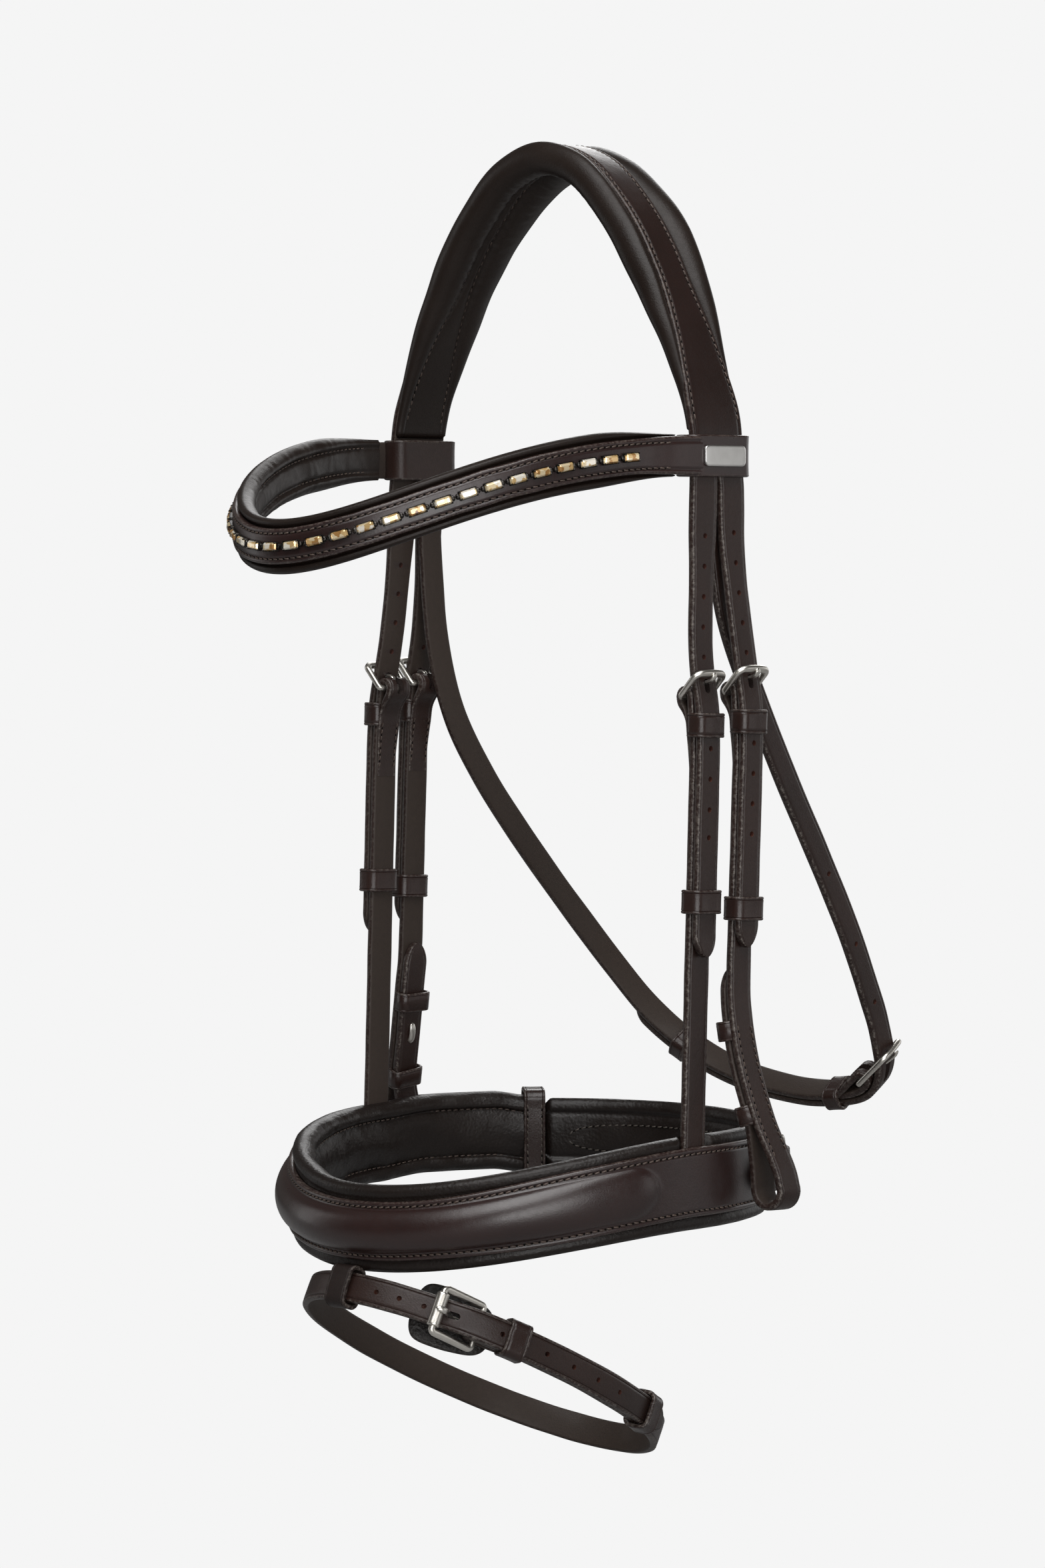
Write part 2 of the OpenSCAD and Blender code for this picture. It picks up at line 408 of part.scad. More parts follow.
// ---- drawing --------------------------------------------------------------------------
headpiece_leather();
headpiece_padding();
browband_leather();
browband_padding();
near_browband_loop();
far_browband_loop();
browband_setting();
browband_stones();
browband_plate();
near_nose_billet();
near_nose_strap();
near_nose_buckle();
near_nose_tongue();
near_nose_keeper();
near_nose_runner();
far_nose_billet();
far_nose_strap();
far_nose_buckle();
far_nose_tongue();
far_nose_keeper();
far_nose_runner();
near_cheek_billet();
near_cheekpiece();
near_cheek_buckle();
near_cheek_tongue();
near_cheek_keeper();
near_cheek_runner();
near_bit_keepers();
near_hook_stud();
far_cheek_billet();
far_cheekpiece();
far_cheek_buckle();
far_cheek_tongue();
far_cheek_keeper();
far_cheek_runner();
far_bit_keepers();
far_hook_stud();
throat_strap();
throat_billet();
throat_buckle();
throat_tongue();
throat_keeper();
throat_runner();
noseband_leather();
noseband_padding();
noseband_loop();
flash_tab();
chin_pad();
chin_strap();
chin_chape();
chin_buckle();
chin_tongue();
flash_strap();
flash_buckle();
flash_roller();
flash_tongue();
flash_safe();
flash_keeper();
flash_runner();
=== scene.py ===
import math

import bmesh
import bpy
import numpy as np
from math import cos, pi, radians, sin, sqrt
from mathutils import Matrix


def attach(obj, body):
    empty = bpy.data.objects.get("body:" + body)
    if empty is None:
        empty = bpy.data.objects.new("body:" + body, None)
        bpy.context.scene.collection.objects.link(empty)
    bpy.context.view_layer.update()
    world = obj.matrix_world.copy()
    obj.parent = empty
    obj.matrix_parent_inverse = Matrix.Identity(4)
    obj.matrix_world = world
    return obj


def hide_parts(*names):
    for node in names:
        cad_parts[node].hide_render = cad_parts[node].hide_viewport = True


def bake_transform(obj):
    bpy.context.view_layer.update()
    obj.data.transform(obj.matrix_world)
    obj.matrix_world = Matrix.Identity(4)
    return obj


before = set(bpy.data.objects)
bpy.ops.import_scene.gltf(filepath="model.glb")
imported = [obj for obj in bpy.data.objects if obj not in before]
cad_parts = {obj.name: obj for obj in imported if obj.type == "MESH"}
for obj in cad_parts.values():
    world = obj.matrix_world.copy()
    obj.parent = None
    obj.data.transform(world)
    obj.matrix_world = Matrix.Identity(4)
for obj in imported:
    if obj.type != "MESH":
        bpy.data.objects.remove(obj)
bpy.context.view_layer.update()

MM = 0.001


# ---------------------------------------------------------------- small maths
def A(*p):
    return np.array(p, float)


def unit(v):
    v = np.asarray(v, float)
    return v / np.maximum(np.linalg.norm(v, axis=-1, keepdims=True), 1e-12)


def sst(x, a, b):
    t = np.clip((np.asarray(x, float) - a) / (b - a), 0, 1)
    return t * t * (3 - 2 * t)


def mix(a, b, t):
    return a + (b - a) * t


def sd(a):
    return np.sin(np.radians(a))


def cd(a):
    return np.cos(np.radians(a))


def spl(P, n):
    P = [np.asarray(p, float) for p in P]
    Q = [2 * P[0] - P[1]] + P + [2 * P[-1] - P[-2]]
    out = []
    for i in range(1, len(Q) - 2):
        a, b, c, d = Q[i - 1 : i + 3]
        for k in range(n):
            t = k / n
            out.append(0.5 * (2 * b + (c - a) * t + (2 * a - 5 * b + 4 * c - d) * t * t + (3 * b - a - 3 * c + d) * t ** 3))
    out.append(P[-1])
    return np.array(out)


def ring_spl(P, n):
    """Closed smooth curve through P, n points for each span."""
    P = np.asarray(P, float)
    m = len(P)
    out = []
    for i in range(m):
        a, b, c, d = P[(i - 1) % m], P[i], P[(i + 1) % m], P[(i + 2) % m]
        for k in range(n):
            t = k / n
            out.append(0.5 * (2 * b + (c - a) * t + (2 * a - 5 * b + 4 * c - d) * t * t + (3 * b - a - 3 * c + d) * t ** 3))
    return np.array(out)


def length(P):
    return np.r_[0, np.cumsum(np.linalg.norm(np.diff(P, axis=0), axis=1))]


def resample(P, step, tip=0.0, tip0=0.0):
    """Even steps along P, with finer steps over the last tip and first tip0 millimetres."""
    P = np.asarray(P, float)
    d = length(P)
    L = d[-1]
    s = np.linspace(tip0, L - tip, max(int(round((L - tip - tip0) / step)), 2) + 1)
    if tip:
        s = np.r_[s[:-1], L - tip * (1 - np.sin(np.linspace(0, pi / 2, 16)))]
    if tip0:
        s = np.r_[(tip0 * (1 - np.sin(np.linspace(0, pi / 2, 16))))[::-1], s[1:]]
    return np.stack([np.interp(s, d, P[:, k]) for k in range(P.shape[1])], 1)


def frames(P, w, sign=1):
    """Across and outward directions along P for a strap whose width lies along w."""
    T = unit(np.gradient(P, axis=0))
    w = np.broadcast_to(np.asarray(w, float), P.shape)
    W = unit(w - (w * T).sum(1, keepdims=True) * T)
    return W, np.cross(T, W) * sign


def wob(P, f, seed):
    """Smooth deterministic unevenness, f cycles per millimetre."""
    r = np.random.default_rng(seed)
    o = 0
    for _ in range(8):
        d = unit(r.normal(size=3))
        o = o + np.sin((P @ d) * f * r.uniform(0.6, 1.7) * 2 * pi + r.uniform(0, 6.28))
    return o / 8 ** 0.5


# ---------------------------------------------------------------- mesh building
class Mesh:
    KEYS = ("edge", "back", "run", "tone")

    def __init__(self):
        self.V, self.F, self.I, self.n = [], [], [], 0
        self.at = {k: [] for k in self.KEYS}

    def add(self, V, F, mat=0, **at):
        V = np.asarray(V, float).reshape(-1, 3)
        for k in self.KEYS:
            self.at[k].append(np.broadcast_to(np.asarray(at.get(k, 0.0), float), (len(V),)) if np.ndim(at.get(k, 0.0)) == 0 else np.asarray(at[k], float).reshape(-1))
        n = self.n
        self.F += [tuple(int(i) + n for i in f) for f in F]
        self.I += [mat] * len(F)
        self.V.append(V)
        self.n += len(V)
        return self

    def mirrored(self):
        m = Mesh()
        m.V = [v * A(-1, 1, 1) for v in self.V]
        m.F = [f[::-1] for f in self.F]
        m.I = list(self.I)
        m.n = self.n
        m.at = {k: list(v) for k, v in self.at.items()}
        return m

    def obj(self, name, mats, sharp=50, flat=False):
        me = bpy.data.meshes.new(name)
        me.from_pydata((np.concatenate(self.V) * MM).tolist(), [], self.F)
        for m in mats:
            me.materials.append(m)
        me.polygons.foreach_set("material_index", self.I)
        for k in self.KEYS:
            v = np.concatenate(self.at[k]).astype(np.float32)
            if np.any(v):
                me.attributes.new(k, "FLOAT", "POINT").data.foreach_set("value", v)
        bm = bmesh.new()
        bm.from_mesh(me)
        bmesh.ops.recalc_face_normals(bm, faces=bm.faces)
        bm.to_mesh(me)
        bm.free()
        me.polygons.foreach_set("use_smooth", [not flat] * len(me.polygons))
        me.update()
        if not flat:
            me.set_sharp_from_angle(angle=radians(sharp))
        o = bpy.data.objects.new(name, me)
        bpy.context.scene.collection.objects.link(o)
        return o


def grid_faces(n, k, closed_k=True, closed_n=False):
    F = []
    for i in range(n if closed_n else n - 1):
        a, b = i * k, ((i + 1) % n) * k
        for j in range(k if closed_k else k - 1):
            j2 = (j + 1) % k
            F.append((a + j, a + j2, b + j2, b + j))
    return F


def sweep(M, P, W, N, prof, mat=0, closed=False, cap=True, edge=0.0, back=0.0, run0=0.0):
    """Cross-sections prof (across, outward) along P."""
    P = np.asarray(P, float)
    n = len(P)
    prof = np.asarray(prof, float)
    if prof.ndim == 2:
        prof = np.broadcast_to(prof, (n,) + prof.shape)
    k = prof.shape[1]
    V = P[:, None] + W[:, None] * prof[..., :1] + N[:, None] * prof[..., 1:]
    F = grid_faces(n, k, True, closed)
    if cap and not closed:
        F.append(tuple(range(k - 1, -1, -1)))
        F.append(tuple((n - 1) * k + j for j in range(k)))
    run = np.repeat(length(P) + run0, k)
    full = lambda x: np.broadcast_to(np.asarray(x, float), (n, k)).reshape(-1)
    M.add(V, F, mat, edge=full(edge), back=full(back), run=run)
    return V


# strap section: side, distance in from the edge, height, edge wear and painted corner highlight
_half = [(-1, 0.0, -0.80, 0.35), (-1, -0.05, -0.1, 0.25), (-1, 0.0, 0.55, 0.4), (-1, 0.16, 1.02, 0.9), (-1, 0.42, 1.34, 1.0), (-1, 0.8, 1.46, 0.35), (-1, 1.28, 1.46, 0.05),
         (-1, 1.48, 1.20, 0), (-1, 1.68, 1.47, 0.1), (-1, 2.5, 1.53, 0), (-1, 4.2, 1.55, 0)]
STRAP = np.array(_half + [(-a, b, c, d) for a, b, c, d in _half[::-1]] + [(1, 0.3, -1.34, 0.7), (1, 1.0, -1.5, 0.1), (-1, 1.0, -1.5, 0.1), (-1, 0.3, -1.34, 0.7)])
_half = [(-1, 0.0, -0.9, 0.3), (-1, 0.0, 0.5, 0.4), (-1, 0.18, 1.02, 0.9), (-1, 0.5, 1.36, 0.8), (-1, 0.95, 1.5, 0.25), (-1, 1.45, 1.5, 0.05),
         (-1, 1.75, 1.2, 0), (-1, 2.35, 1.2, 0), (-1, 2.65, 1.52, 0), (-1, 3.6, 1.58, 0), (-1, 5.4, 1.6, 0)]
PANEL = np.array(_half + [(-a, b, c, d) for a, b, c, d in _half[::-1]] + [(1, 0.3, -1.36, 0.8), (1, 1.0, -1.5, 0), (-1, 1.0, -1.5, 0), (-1, 0.3, -1.36, 0.8)])


def strap(M, P, W, N, H, t=1.5, mat=0, prof=STRAP, **k):
    n = len(P)
    H = (np.broadcast_to(np.asarray(H, float), (n,)) * (1 + 0.011 * wob(np.asarray(P, float), 0.04, 91)))[:, None]
    t = np.broadcast_to(np.asarray(t, float), (n,))[:, None]
    a = prof[:, 0] * np.maximum(H - prof[:, 1] * np.minimum(1, H / 5.0), 0.02)
    o = prof[:, 2] * t / 1.5
    back = (prof[:, 2] < -1.2) * 1.0
    return sweep(M, P, W, N, np.stack([a, np.broadcast_to(o, a.shape)], -1), mat, edge=prof[:, 3], back=back, **k)


def tip_width(P, hw, end=True, reach=1.5):
    """Half widths with a bluntly pointed tip at the end of P."""
    d = length(P)
    s = d[-1] - d if end else d
    L = reach * hw
    u = np.clip(s / L, 0, 1)
    return np.maximum(hw * (1 - (1 - u) ** 1.9) ** 0.62, 0.35)


def stitches(M, line, nrm, pitch=3.1, size=2.45, r=0.33, slant=0.16, lift=0.06, skip=0.0):
    """A row of sewn stitches on the dense line, lying on a surface with normals nrm."""
    line = np.asarray(line, float)
    d = length(line)
    L = d[-1] - skip * 2
    m = int(L / pitch)
    if m < 1:
        return
    s = skip + (L - (m - 1) * pitch) / 2 + np.arange(m) * pitch
    get = lambda X, q: np.stack([np.interp(q, d, X[:, k]) for k in range(3)], 1)
    C = get(line, s)
    T = unit(get(line, s + 0.6) - get(line, s - 0.6))
    N = unit(get(np.broadcast_to(nrm, line.shape), s))
    N = unit(N - (N * T).sum(1, keepdims=True) * T)
    B = np.cross(N, T)
    T2 = unit(T + slant * B)
    B2 = np.cross(N, T2)
    xs = np.array([-0.5, -0.42, -0.2, 0.2, 0.42, 0.5]) * size
    hs = np.array([-0.42, -0.12, 0.1, 0.1, -0.12, -0.42]) + lift
    rs = np.array([0.35, 0.85, 1, 1, 0.85, 0.35]) * r
    ang = np.arange(7) * 2 * pi / 7
    prof = np.stack([np.cos(ang), np.sin(ang)], 1)
    V = (C[:, None, None] + T2[:, None, None] * xs[None, :, None, None] + N[:, None, None] * (hs[None, :, None, None] + rs[None, :, None, None] * prof[None, None, :, 1:] * 0.9)
         + B2[:, None, None] * (rs[None, :, None, None] * prof[None, None, :, :1]))
    k, q = len(xs), 7
    f1 = grid_faces(k, q) + [tuple(range(q - 1, -1, -1)), tuple((k - 1) * q + j for j in range(q))]
    tone = np.random.default_rng(m).uniform(0, 1, m)
    for i in range(m):
        M.add(V[i], f1, 0, tone=tone[i])
    # the pricked holes between the stitches, as near-black dots: painted shade inside the holes
    s2 = s[:-1] + pitch / 2
    C = get(line, s2)
    T = unit(get(line, s2 + 0.6) - get(line, s2 - 0.6))
    N = unit(get(np.broadcast_to(nrm, line.shape), s2))
    N = unit(N - (N * T).sum(1, keepdims=True) * T)
    B = np.cross(N, T)
    a6 = np.arange(8) * pi / 4
    la, lb = 0.5 * (pitch - size) + 0.24, r * 1.3
    f2 = grid_faces(3, 8) + [tuple(range(7, -1, -1)), tuple(range(16, 24))]
    for c, t, n, b in zip(C, T, N, B):
        Vh = [c + n * h + g * (la * cos(q) * t + lb * sin(q) * b) for h, g in ((-0.45, 0.8), (0.02, 1.0), (0.09, 0.6)) for q in a6]
        M.add(Vh, f2, 1, tone=0.0)


def rounded(x0, x1, y0, y1, r, n=7):
    """Rounded rectangle outline, anticlockwise, with points along its sides."""
    out = []
    for cx, cy, a0 in ((x1 - r, y1 - r, 0), (x0 + r, y1 - r, 90), (x0 + r, y0 + r, 180), (x1 - r, y0 + r, 270)):
        out += [[cx + r * cos(radians(a0 + 90 * k / n)), cy + r * sin(radians(a0 + 90 * k / n))] for k in range(n + 1)]
    out.append(out[0])
    return resample(np.array(out), 0.5)[:-1]


def band(M, o, n, w, t, n0, n1, cw, l, k, r=1.7, mat=0, crease=True, swell=0.25):
    """Leather loop round a strap: cavity n0..n1 by 2*cw, l wide along t, wall k."""
    o, n, w, t = (np.asarray(x, float) for x in (o, n, w, t))
    R = rounded(n0, n1, -cw, cw, r)
    m = len(R)
    tan = unit(np.roll(R, -1, 0) - np.roll(R, 1, 0))
    nor = np.stack([tan[:, 1], -tan[:, 0]], 1)
    P = o + R[:, :1] * n + R[:, 1:] * w
    N = nor[:, :1] * n + nor[:, 1:] * w
    W = np.broadcast_to(t, P.shape)
    h = l / 2
    half = [(-h, 0.25), (-h - 0.05, 0.62), (-h + 0.12, 0.88), (-h + 0.45, 1.0), (-h + 0.95, 0.98), (-h + 1.15, 0.82 if crease else 0.97), (-h + 1.35, 0.97), (-h * 0.5, 0.93), (0, 0.92)]
    prof = np.array(half + [(-a, b) for a, b in half[-2::-1]] + [(h - 0.2, 0.0), (0, 0.0), (-h + 0.2, 0.0)])
    prof = prof * A(1, k)
    e = np.array([1, 1, 0.8, 0.45, 0.1, 0, 0, 0, 0])
    e = np.r_[e, e[-2::-1], 0.5, 0, 0.5]
    b = np.r_[np.zeros(17), 0.5, 1, 0.5]
    bulge = swell * np.abs(np.sin(np.arange(m) * 2 * pi / m * 2 + 0.4))
    pr = np.broadcast_to(prof, (m,) + prof.shape).copy()
    pr[..., 1] += bulge[:, None] * (prof[:, 1] > 0.05)
    sweep(M, P, W, N, pr, mat, closed=True, edge=e, back=b)


def oval(k, e=2.4):
    a = np.arange(k) * 2 * pi / k
    c, s = np.cos(a), np.sin(a)
    return np.stack([np.sign(c) * np.abs(c) ** (2 / e), np.sign(s) * np.abs(s) ** (2 / e)], 1)


def buckle(M, a, b, w, n, h, bow=1.3, bar=(1.6, 1.25), arm=(1.2, 1.25), heel=1.25, corner=2.3, lean=0.5):
    """Wire buckle frame: heel bar at a, front bar at b, half width h along w, n outward."""
    a, b, w, n = (np.asarray(x, float) for x in (a, b, w, n))
    d = unit(b - a)
    L = np.linalg.norm(b - a)
    m = unit(np.cross(w, d))
    if np.dot(m, n) < 0:
        m = -m
    pts, kind = [], []
    c0 = 1.3

    def put(y, z, q):
        u = y / h
        rise = bow * max(0, 1 - u * u) * (1 if z > L * 0.6 else 0)
        pts.append(a + w * y + d * (z + rise) + m * (lean * max(0, 1 - u * u) * (1 if z > L * 0.6 else 0)))
        kind.append(q)

    for y in np.linspace(-h + c0, h - c0, 15):
        put(y, 0, 0)
    for g in np.linspace(0, 90, 5)[1:-1]:
        put(h - c0 + c0 * sin(radians(g)), c0 - c0 * cos(radians(g)), 0.3)
    for z in np.linspace(c0, L - corner, 12):
        put(h, z, 1)
    for g in np.linspace(0, 90, 9)[1:-1]:
        put(h - corner + corner * cos(radians(g)), L - corner + corner * sin(radians(g)), 1.5)
    for y in np.linspace(h - corner, -h + corner, 17):
        put(y, L, 2)
    for g in np.linspace(90, 0, 9)[1:-1]:
        put(-h + corner - corner * cos(radians(g)), L - corner + corner * sin(radians(g)), 1.5)
    for z in np.linspace(L - corner, c0, 12):
        put(-h, z, 1)
    for g in np.linspace(90, 0, 5)[1:-1]:
        put(-h + c0 - c0 * sin(radians(g)), c0 - c0 * cos(radians(g)), 0.3)
    P = np.array(pts)
    kind = np.array(kind)
    kind = (kind + np.roll(kind, 1) + np.roll(kind, -1)) / 3
    ra = np.interp(kind, [0, 1, 2], [heel, arm[0], bar[0]])
    rb = np.interp(kind, [0, 1, 2], [heel, arm[1], bar[1]])
    T = unit(np.roll(P, -1, 0) - np.roll(P, 1, 0))
    N = unit(m - (T @ m)[:, None] * T)
    W = np.cross(T, N)
    o = oval(16)
    sweep(M, P, W, N, o[None] * np.stack([ra, rb], 1)[:, None], closed=True)


def tongue(M, a, b, w, n, rb, heel=1.3, r=1.0, knee=None):
    """Tongue hinged on the heel bar at a, lying over the bar at b; knee gives its bent path (along, out)."""
    a, b, w, n = (np.asarray(x, float) for x in (a, b, w, n))
    d = unit(b - a)
    o = unit(n - np.dot(n, d) * d)
    L = np.linalg.norm(b - a)
    k = math.asin((rb + r + 0.35) / L)
    t = d * cos(k) + o * sin(k)
    u = unit(np.cross(w, t))
    if np.dot(u, n) < 0:
        u = -u
    ang = np.radians(np.arange(0, 360, 12))
    P = a + (heel + 0.5) * (np.cos(ang)[:, None] * t + np.sin(ang)[:, None] * u)
    N = np.cos(ang)[:, None] * t + np.sin(ang)[:, None] * u
    sweep(M, P, np.broadcast_to(w, P.shape), N, oval(12, 3) * A(1.45, 0.5), closed=True)
    s = np.linspace(heel + 0.3, L + rb + 1.0, 26)
    v = (s - s[0]) / (s[-1] - s[0])
    dip = -0.75 * sst(v, 0.86, 1.0) + 0.25 * np.sin(v * pi)
    P = a + s[:, None] * t + (dip - 0.1)[:, None] * u
    if knee:
        o = unit(n)
        d = unit(b - a - np.dot(b - a, o) * o)
        K = spl([A(*q) for q in knee], 8)
        P = resample(a + K[:, :1] * d + K[:, 1:] * o, 0.6)
        v = length(P) / length(P)[-1]
    wd = np.interp(v, [0, 0.25, 0.6, 0.86, 0.95, 1], [1.1, 1.05, 1.22, 1.3, 1.05, 0.3])
    th = np.interp(v, [0, 0.3, 0.8, 0.95, 1], [0.85, 0.8, 0.75, 0.6, 0.25])
    W, N = frames(P, w)
    sweep(M, P, W, N, oval(14, 2.5)[None] * np.stack([wd, th], 1)[:, None])


# ---------------------------------------------------------------- materials
def node(nt, kind, x=0, y=0, **k):
    n = nt.nodes.new(kind)
    n.location = (x, y)
    for a, b in k.items():
        if a.startswith("i_"):
            n.inputs[a[2:].replace("_", " ")].default_value = b
        else:
            setattr(n, a, b)
    return n


def new_mat(name):
    m = bpy.data.materials.new(name)
    m.use_nodes = True
    nt = m.node_tree
    nt.nodes.clear()
    out = node(nt, "ShaderNodeOutputMaterial", 900)
    p = node(nt, "ShaderNodeBsdfPrincipled", 600)
    nt.links.new(p.outputs[0], out.inputs[0])
    return m, nt, p


def math_n(nt, op, a, b=None, clamp=False):
    n = node(nt, "ShaderNodeMath", operation=op)
    n.use_clamp = clamp
    for i, v in enumerate((a, b)):
        if v is None:
            continue
        if isinstance(v, (int, float)):
            n.inputs[i].default_value = v
        else:
            nt.links.new(v, n.inputs[i])
    return n.outputs[0]


def mix_n(nt, f, a, b):
    n = node(nt, "ShaderNodeMix", data_type="RGBA")
    if isinstance(f, (int, float)):
        n.inputs[0].default_value = f
    else:
        nt.links.new(f, n.inputs[0])
    for i, v in ((6, a), (7, b)):
        if isinstance(v, tuple):
            n.inputs[i].default_value = v + (1,) if len(v) == 3 else v
        else:
            nt.links.new(v, n.inputs[i])
    return n.outputs[2]


def ramp_n(nt, f, lo, hi):
    n = node(nt, "ShaderNodeMapRange")
    n.inputs["From Min"].default_value = lo
    n.inputs["From Max"].default_value = hi
    nt.links.new(f, n.inputs["Value"])
    return n.outputs[0]


def leather(name, c1, c2, rough=0.42, grain=1300, gdist=0.00010, wrinkle=0.0, edge=(0.10, 0.078, 0.066), back=None, brough=0.72, coat=0.0, speck=0.5, spec=0.38, crough=0.22):
    m, nt, p = new_mat(name)
    L = nt.links.new
    tc = node(nt, "ShaderNodeTexCoord", -1400)
    co = tc.outputs["Object"]

    def noise(scale, detail=3.0, rgh=0.55, dist=0.0):
        n = node(nt, "ShaderNodeTexNoise", -1100)
        n.inputs["Scale"].default_value = scale
        n.inputs["Detail"].default_value = detail
        n.inputs["Roughness"].default_value = rgh
        n.inputs["Distortion"].default_value = dist
        L(co, n.inputs["Vector"])
        return n.outputs["Fac"]

    broad = ramp_n(nt, noise(28, 3), 0.32, 0.68)
    fine = noise(520, 4, 0.6)
    col = mix_n(nt, broad, c1, c2)
    dark = tuple(x * 0.72 for x in c1)
    col = mix_n(nt, math_n(nt, "MULTIPLY", ramp_n(nt, fine, 0.45, 0.75), 0.45), col, dark)
    # lighter grey speckle on the corners from the edge attribute: partly edge wear, partly a painted highlight along
    # the corners
    ea = node(nt, "ShaderNodeAttribute", attribute_name="edge").outputs["Fac"]
    edge_wear_and_highlight = math_n(nt, "MULTIPLY", ea, ramp_n(nt, noise(800, 4, 0.7), 0.56 - speck * 0.2, 0.63), True)
    col = mix_n(nt, edge_wear_and_highlight, col, edge)
    rg = math_n(nt, "ADD", math_n(nt, "MULTIPLY", math_n(nt, "SUBTRACT", fine, 0.5), 0.22), rough)
    rg = math_n(nt, "ADD", rg, math_n(nt, "MULTIPLY", math_n(nt, "SUBTRACT", broad, 0.5), 0.10))
    rg = math_n(nt, "ADD", rg, math_n(nt, "MULTIPLY", edge_wear_and_highlight, 0.1))
    if back is not None:
        ba = node(nt, "ShaderNodeAttribute", attribute_name="back").outputs["Fac"]
        bc = mix_n(nt, fine, back, tuple(x * 1.5 for x in back))
        col = mix_n(nt, ba, col, bc)
        rg = mix_f(nt, ba, rg, brough)
    L(col, p.inputs["Base Color"])
    L(rg, p.inputs["Roughness"])
    p.inputs["Specular IOR Level"].default_value = spec
    p.inputs["Coat Weight"].default_value = coat
    p.inputs["Coat Roughness"].default_value = crough
    v = node(nt, "ShaderNodeTexVoronoi", feature="SMOOTH_F1")
    v.inputs["Scale"].default_value = grain
    v.inputs["Smoothness"].default_value = 0.6
    v.inputs["Randomness"].default_value = 1.0
    wv = node(nt, "ShaderNodeVectorMath", operation="ADD")
    nz = node(nt, "ShaderNodeTexNoise")
    nz.inputs["Scale"].default_value = grain * 0.45
    L(co, nz.inputs["Vector"])
    sc = node(nt, "ShaderNodeVectorMath", operation="SCALE")
    sc.inputs["Scale"].default_value = 0.9 / grain
    L(nz.outputs["Color"], sc.inputs[0])
    L(co, wv.inputs[0])
    L(sc.outputs[0], wv.inputs[1])
    L(wv.outputs[0], v.inputs["Vector"])
    h = math_n(nt, "ADD", v.outputs["Distance"], math_n(nt, "MULTIPLY", noise(grain * 2.2, 3), 0.5))
    b1 = node(nt, "ShaderNodeBump")
    b1.inputs["Strength"].default_value = 1.0
    b1.inputs["Distance"].default_value = gdist
    L(h, b1.inputs["Height"])
    last = b1
    b2 = node(nt, "ShaderNodeBump")
    b2.inputs["Strength"].default_value = 1.0
    b2.inputs["Distance"].default_value = 0.00012 if not wrinkle else wrinkle
    L(noise(130, 4, 0.55, 0.4), b2.inputs["Height"])
    L(b1.outputs[0], b2.inputs["Normal"])
    last = b2
    L(last.outputs[0], p.inputs["Normal"])
    return m


def mix_f(nt, f, a, b):
    n = node(nt, "ShaderNodeMix", data_type="FLOAT")
    for i, v in ((0, f), (2, a), (3, b)):
        if isinstance(v, (int, float)):
            n.inputs[i].default_value = v
        else:
            nt.links.new(v, n.inputs[i])
    return n.outputs[0]


def metal(name, c1, c2, rough, spread=0.14, scratch=0.000012):
    m, nt, p = new_mat(name)
    L = nt.links.new
    co = node(nt, "ShaderNodeTexCoord").outputs["Object"]
    n1 = node(nt, "ShaderNodeTexNoise")
    n1.inputs["Scale"].default_value = 260
    n1.inputs["Detail"].default_value = 5
    L(co, n1.inputs["Vector"])
    mp = node(nt, "ShaderNodeMapping")
    mp.inputs["Scale"].default_value = (350, 350, 1500)
    L(co, mp.inputs["Vector"])
    n2 = node(nt, "ShaderNodeTexNoise")
    n2.inputs["Scale"].default_value = 1
    n2.inputs["Detail"].default_value = 4
    L(mp.outputs[0], n2.inputs["Vector"])
    L(mix_n(nt, ramp_n(nt, n1.outputs["Fac"], 0.3, 0.7), c1, c2), p.inputs["Base Color"])
    p.inputs["Metallic"].default_value = 1.0
    L(math_n(nt, "ADD", math_n(nt, "MULTIPLY", math_n(nt, "SUBTRACT", n2.outputs["Fac"], 0.5), spread * 2), rough), p.inputs["Roughness"])
    b = node(nt, "ShaderNodeBump")
    b.inputs["Strength"].default_value = 1
    b.inputs["Distance"].default_value = scratch
    L(n2.outputs["Fac"], b.inputs["Height"])
    L(b.outputs[0], p.inputs["Normal"])
    return m


def thread(name, c1, c2):
    m, nt, p = new_mat(name)
    L = nt.links.new
    co = node(nt, "ShaderNodeTexCoord").outputs["Object"]
    n1 = node(nt, "ShaderNodeTexNoise")
    n1.inputs["Scale"].default_value = 1700
    n1.inputs["Detail"].default_value = 3
    L(co, n1.inputs["Vector"])
    ta = node(nt, "ShaderNodeAttribute", attribute_name="tone").outputs["Fac"]
    L(mix_n(nt, math_n(nt, "ADD", math_n(nt, "MULTIPLY", n1.outputs["Fac"], 0.6), math_n(nt, "MULTIPLY", ta, 0.4)), c1, c2), p.inputs["Base Color"])
    p.inputs["Roughness"].default_value = 0.55
    b = node(nt, "ShaderNodeBump")
    b.inputs["Strength"].default_value = 1
    b.inputs["Distance"].default_value = 0.00012
    L(n1.outputs["Fac"], b.inputs["Height"])
    L(b.outputs[0], p.inputs["Normal"])
    return m


BACK = (0.0205, 0.0130, 0.0092)
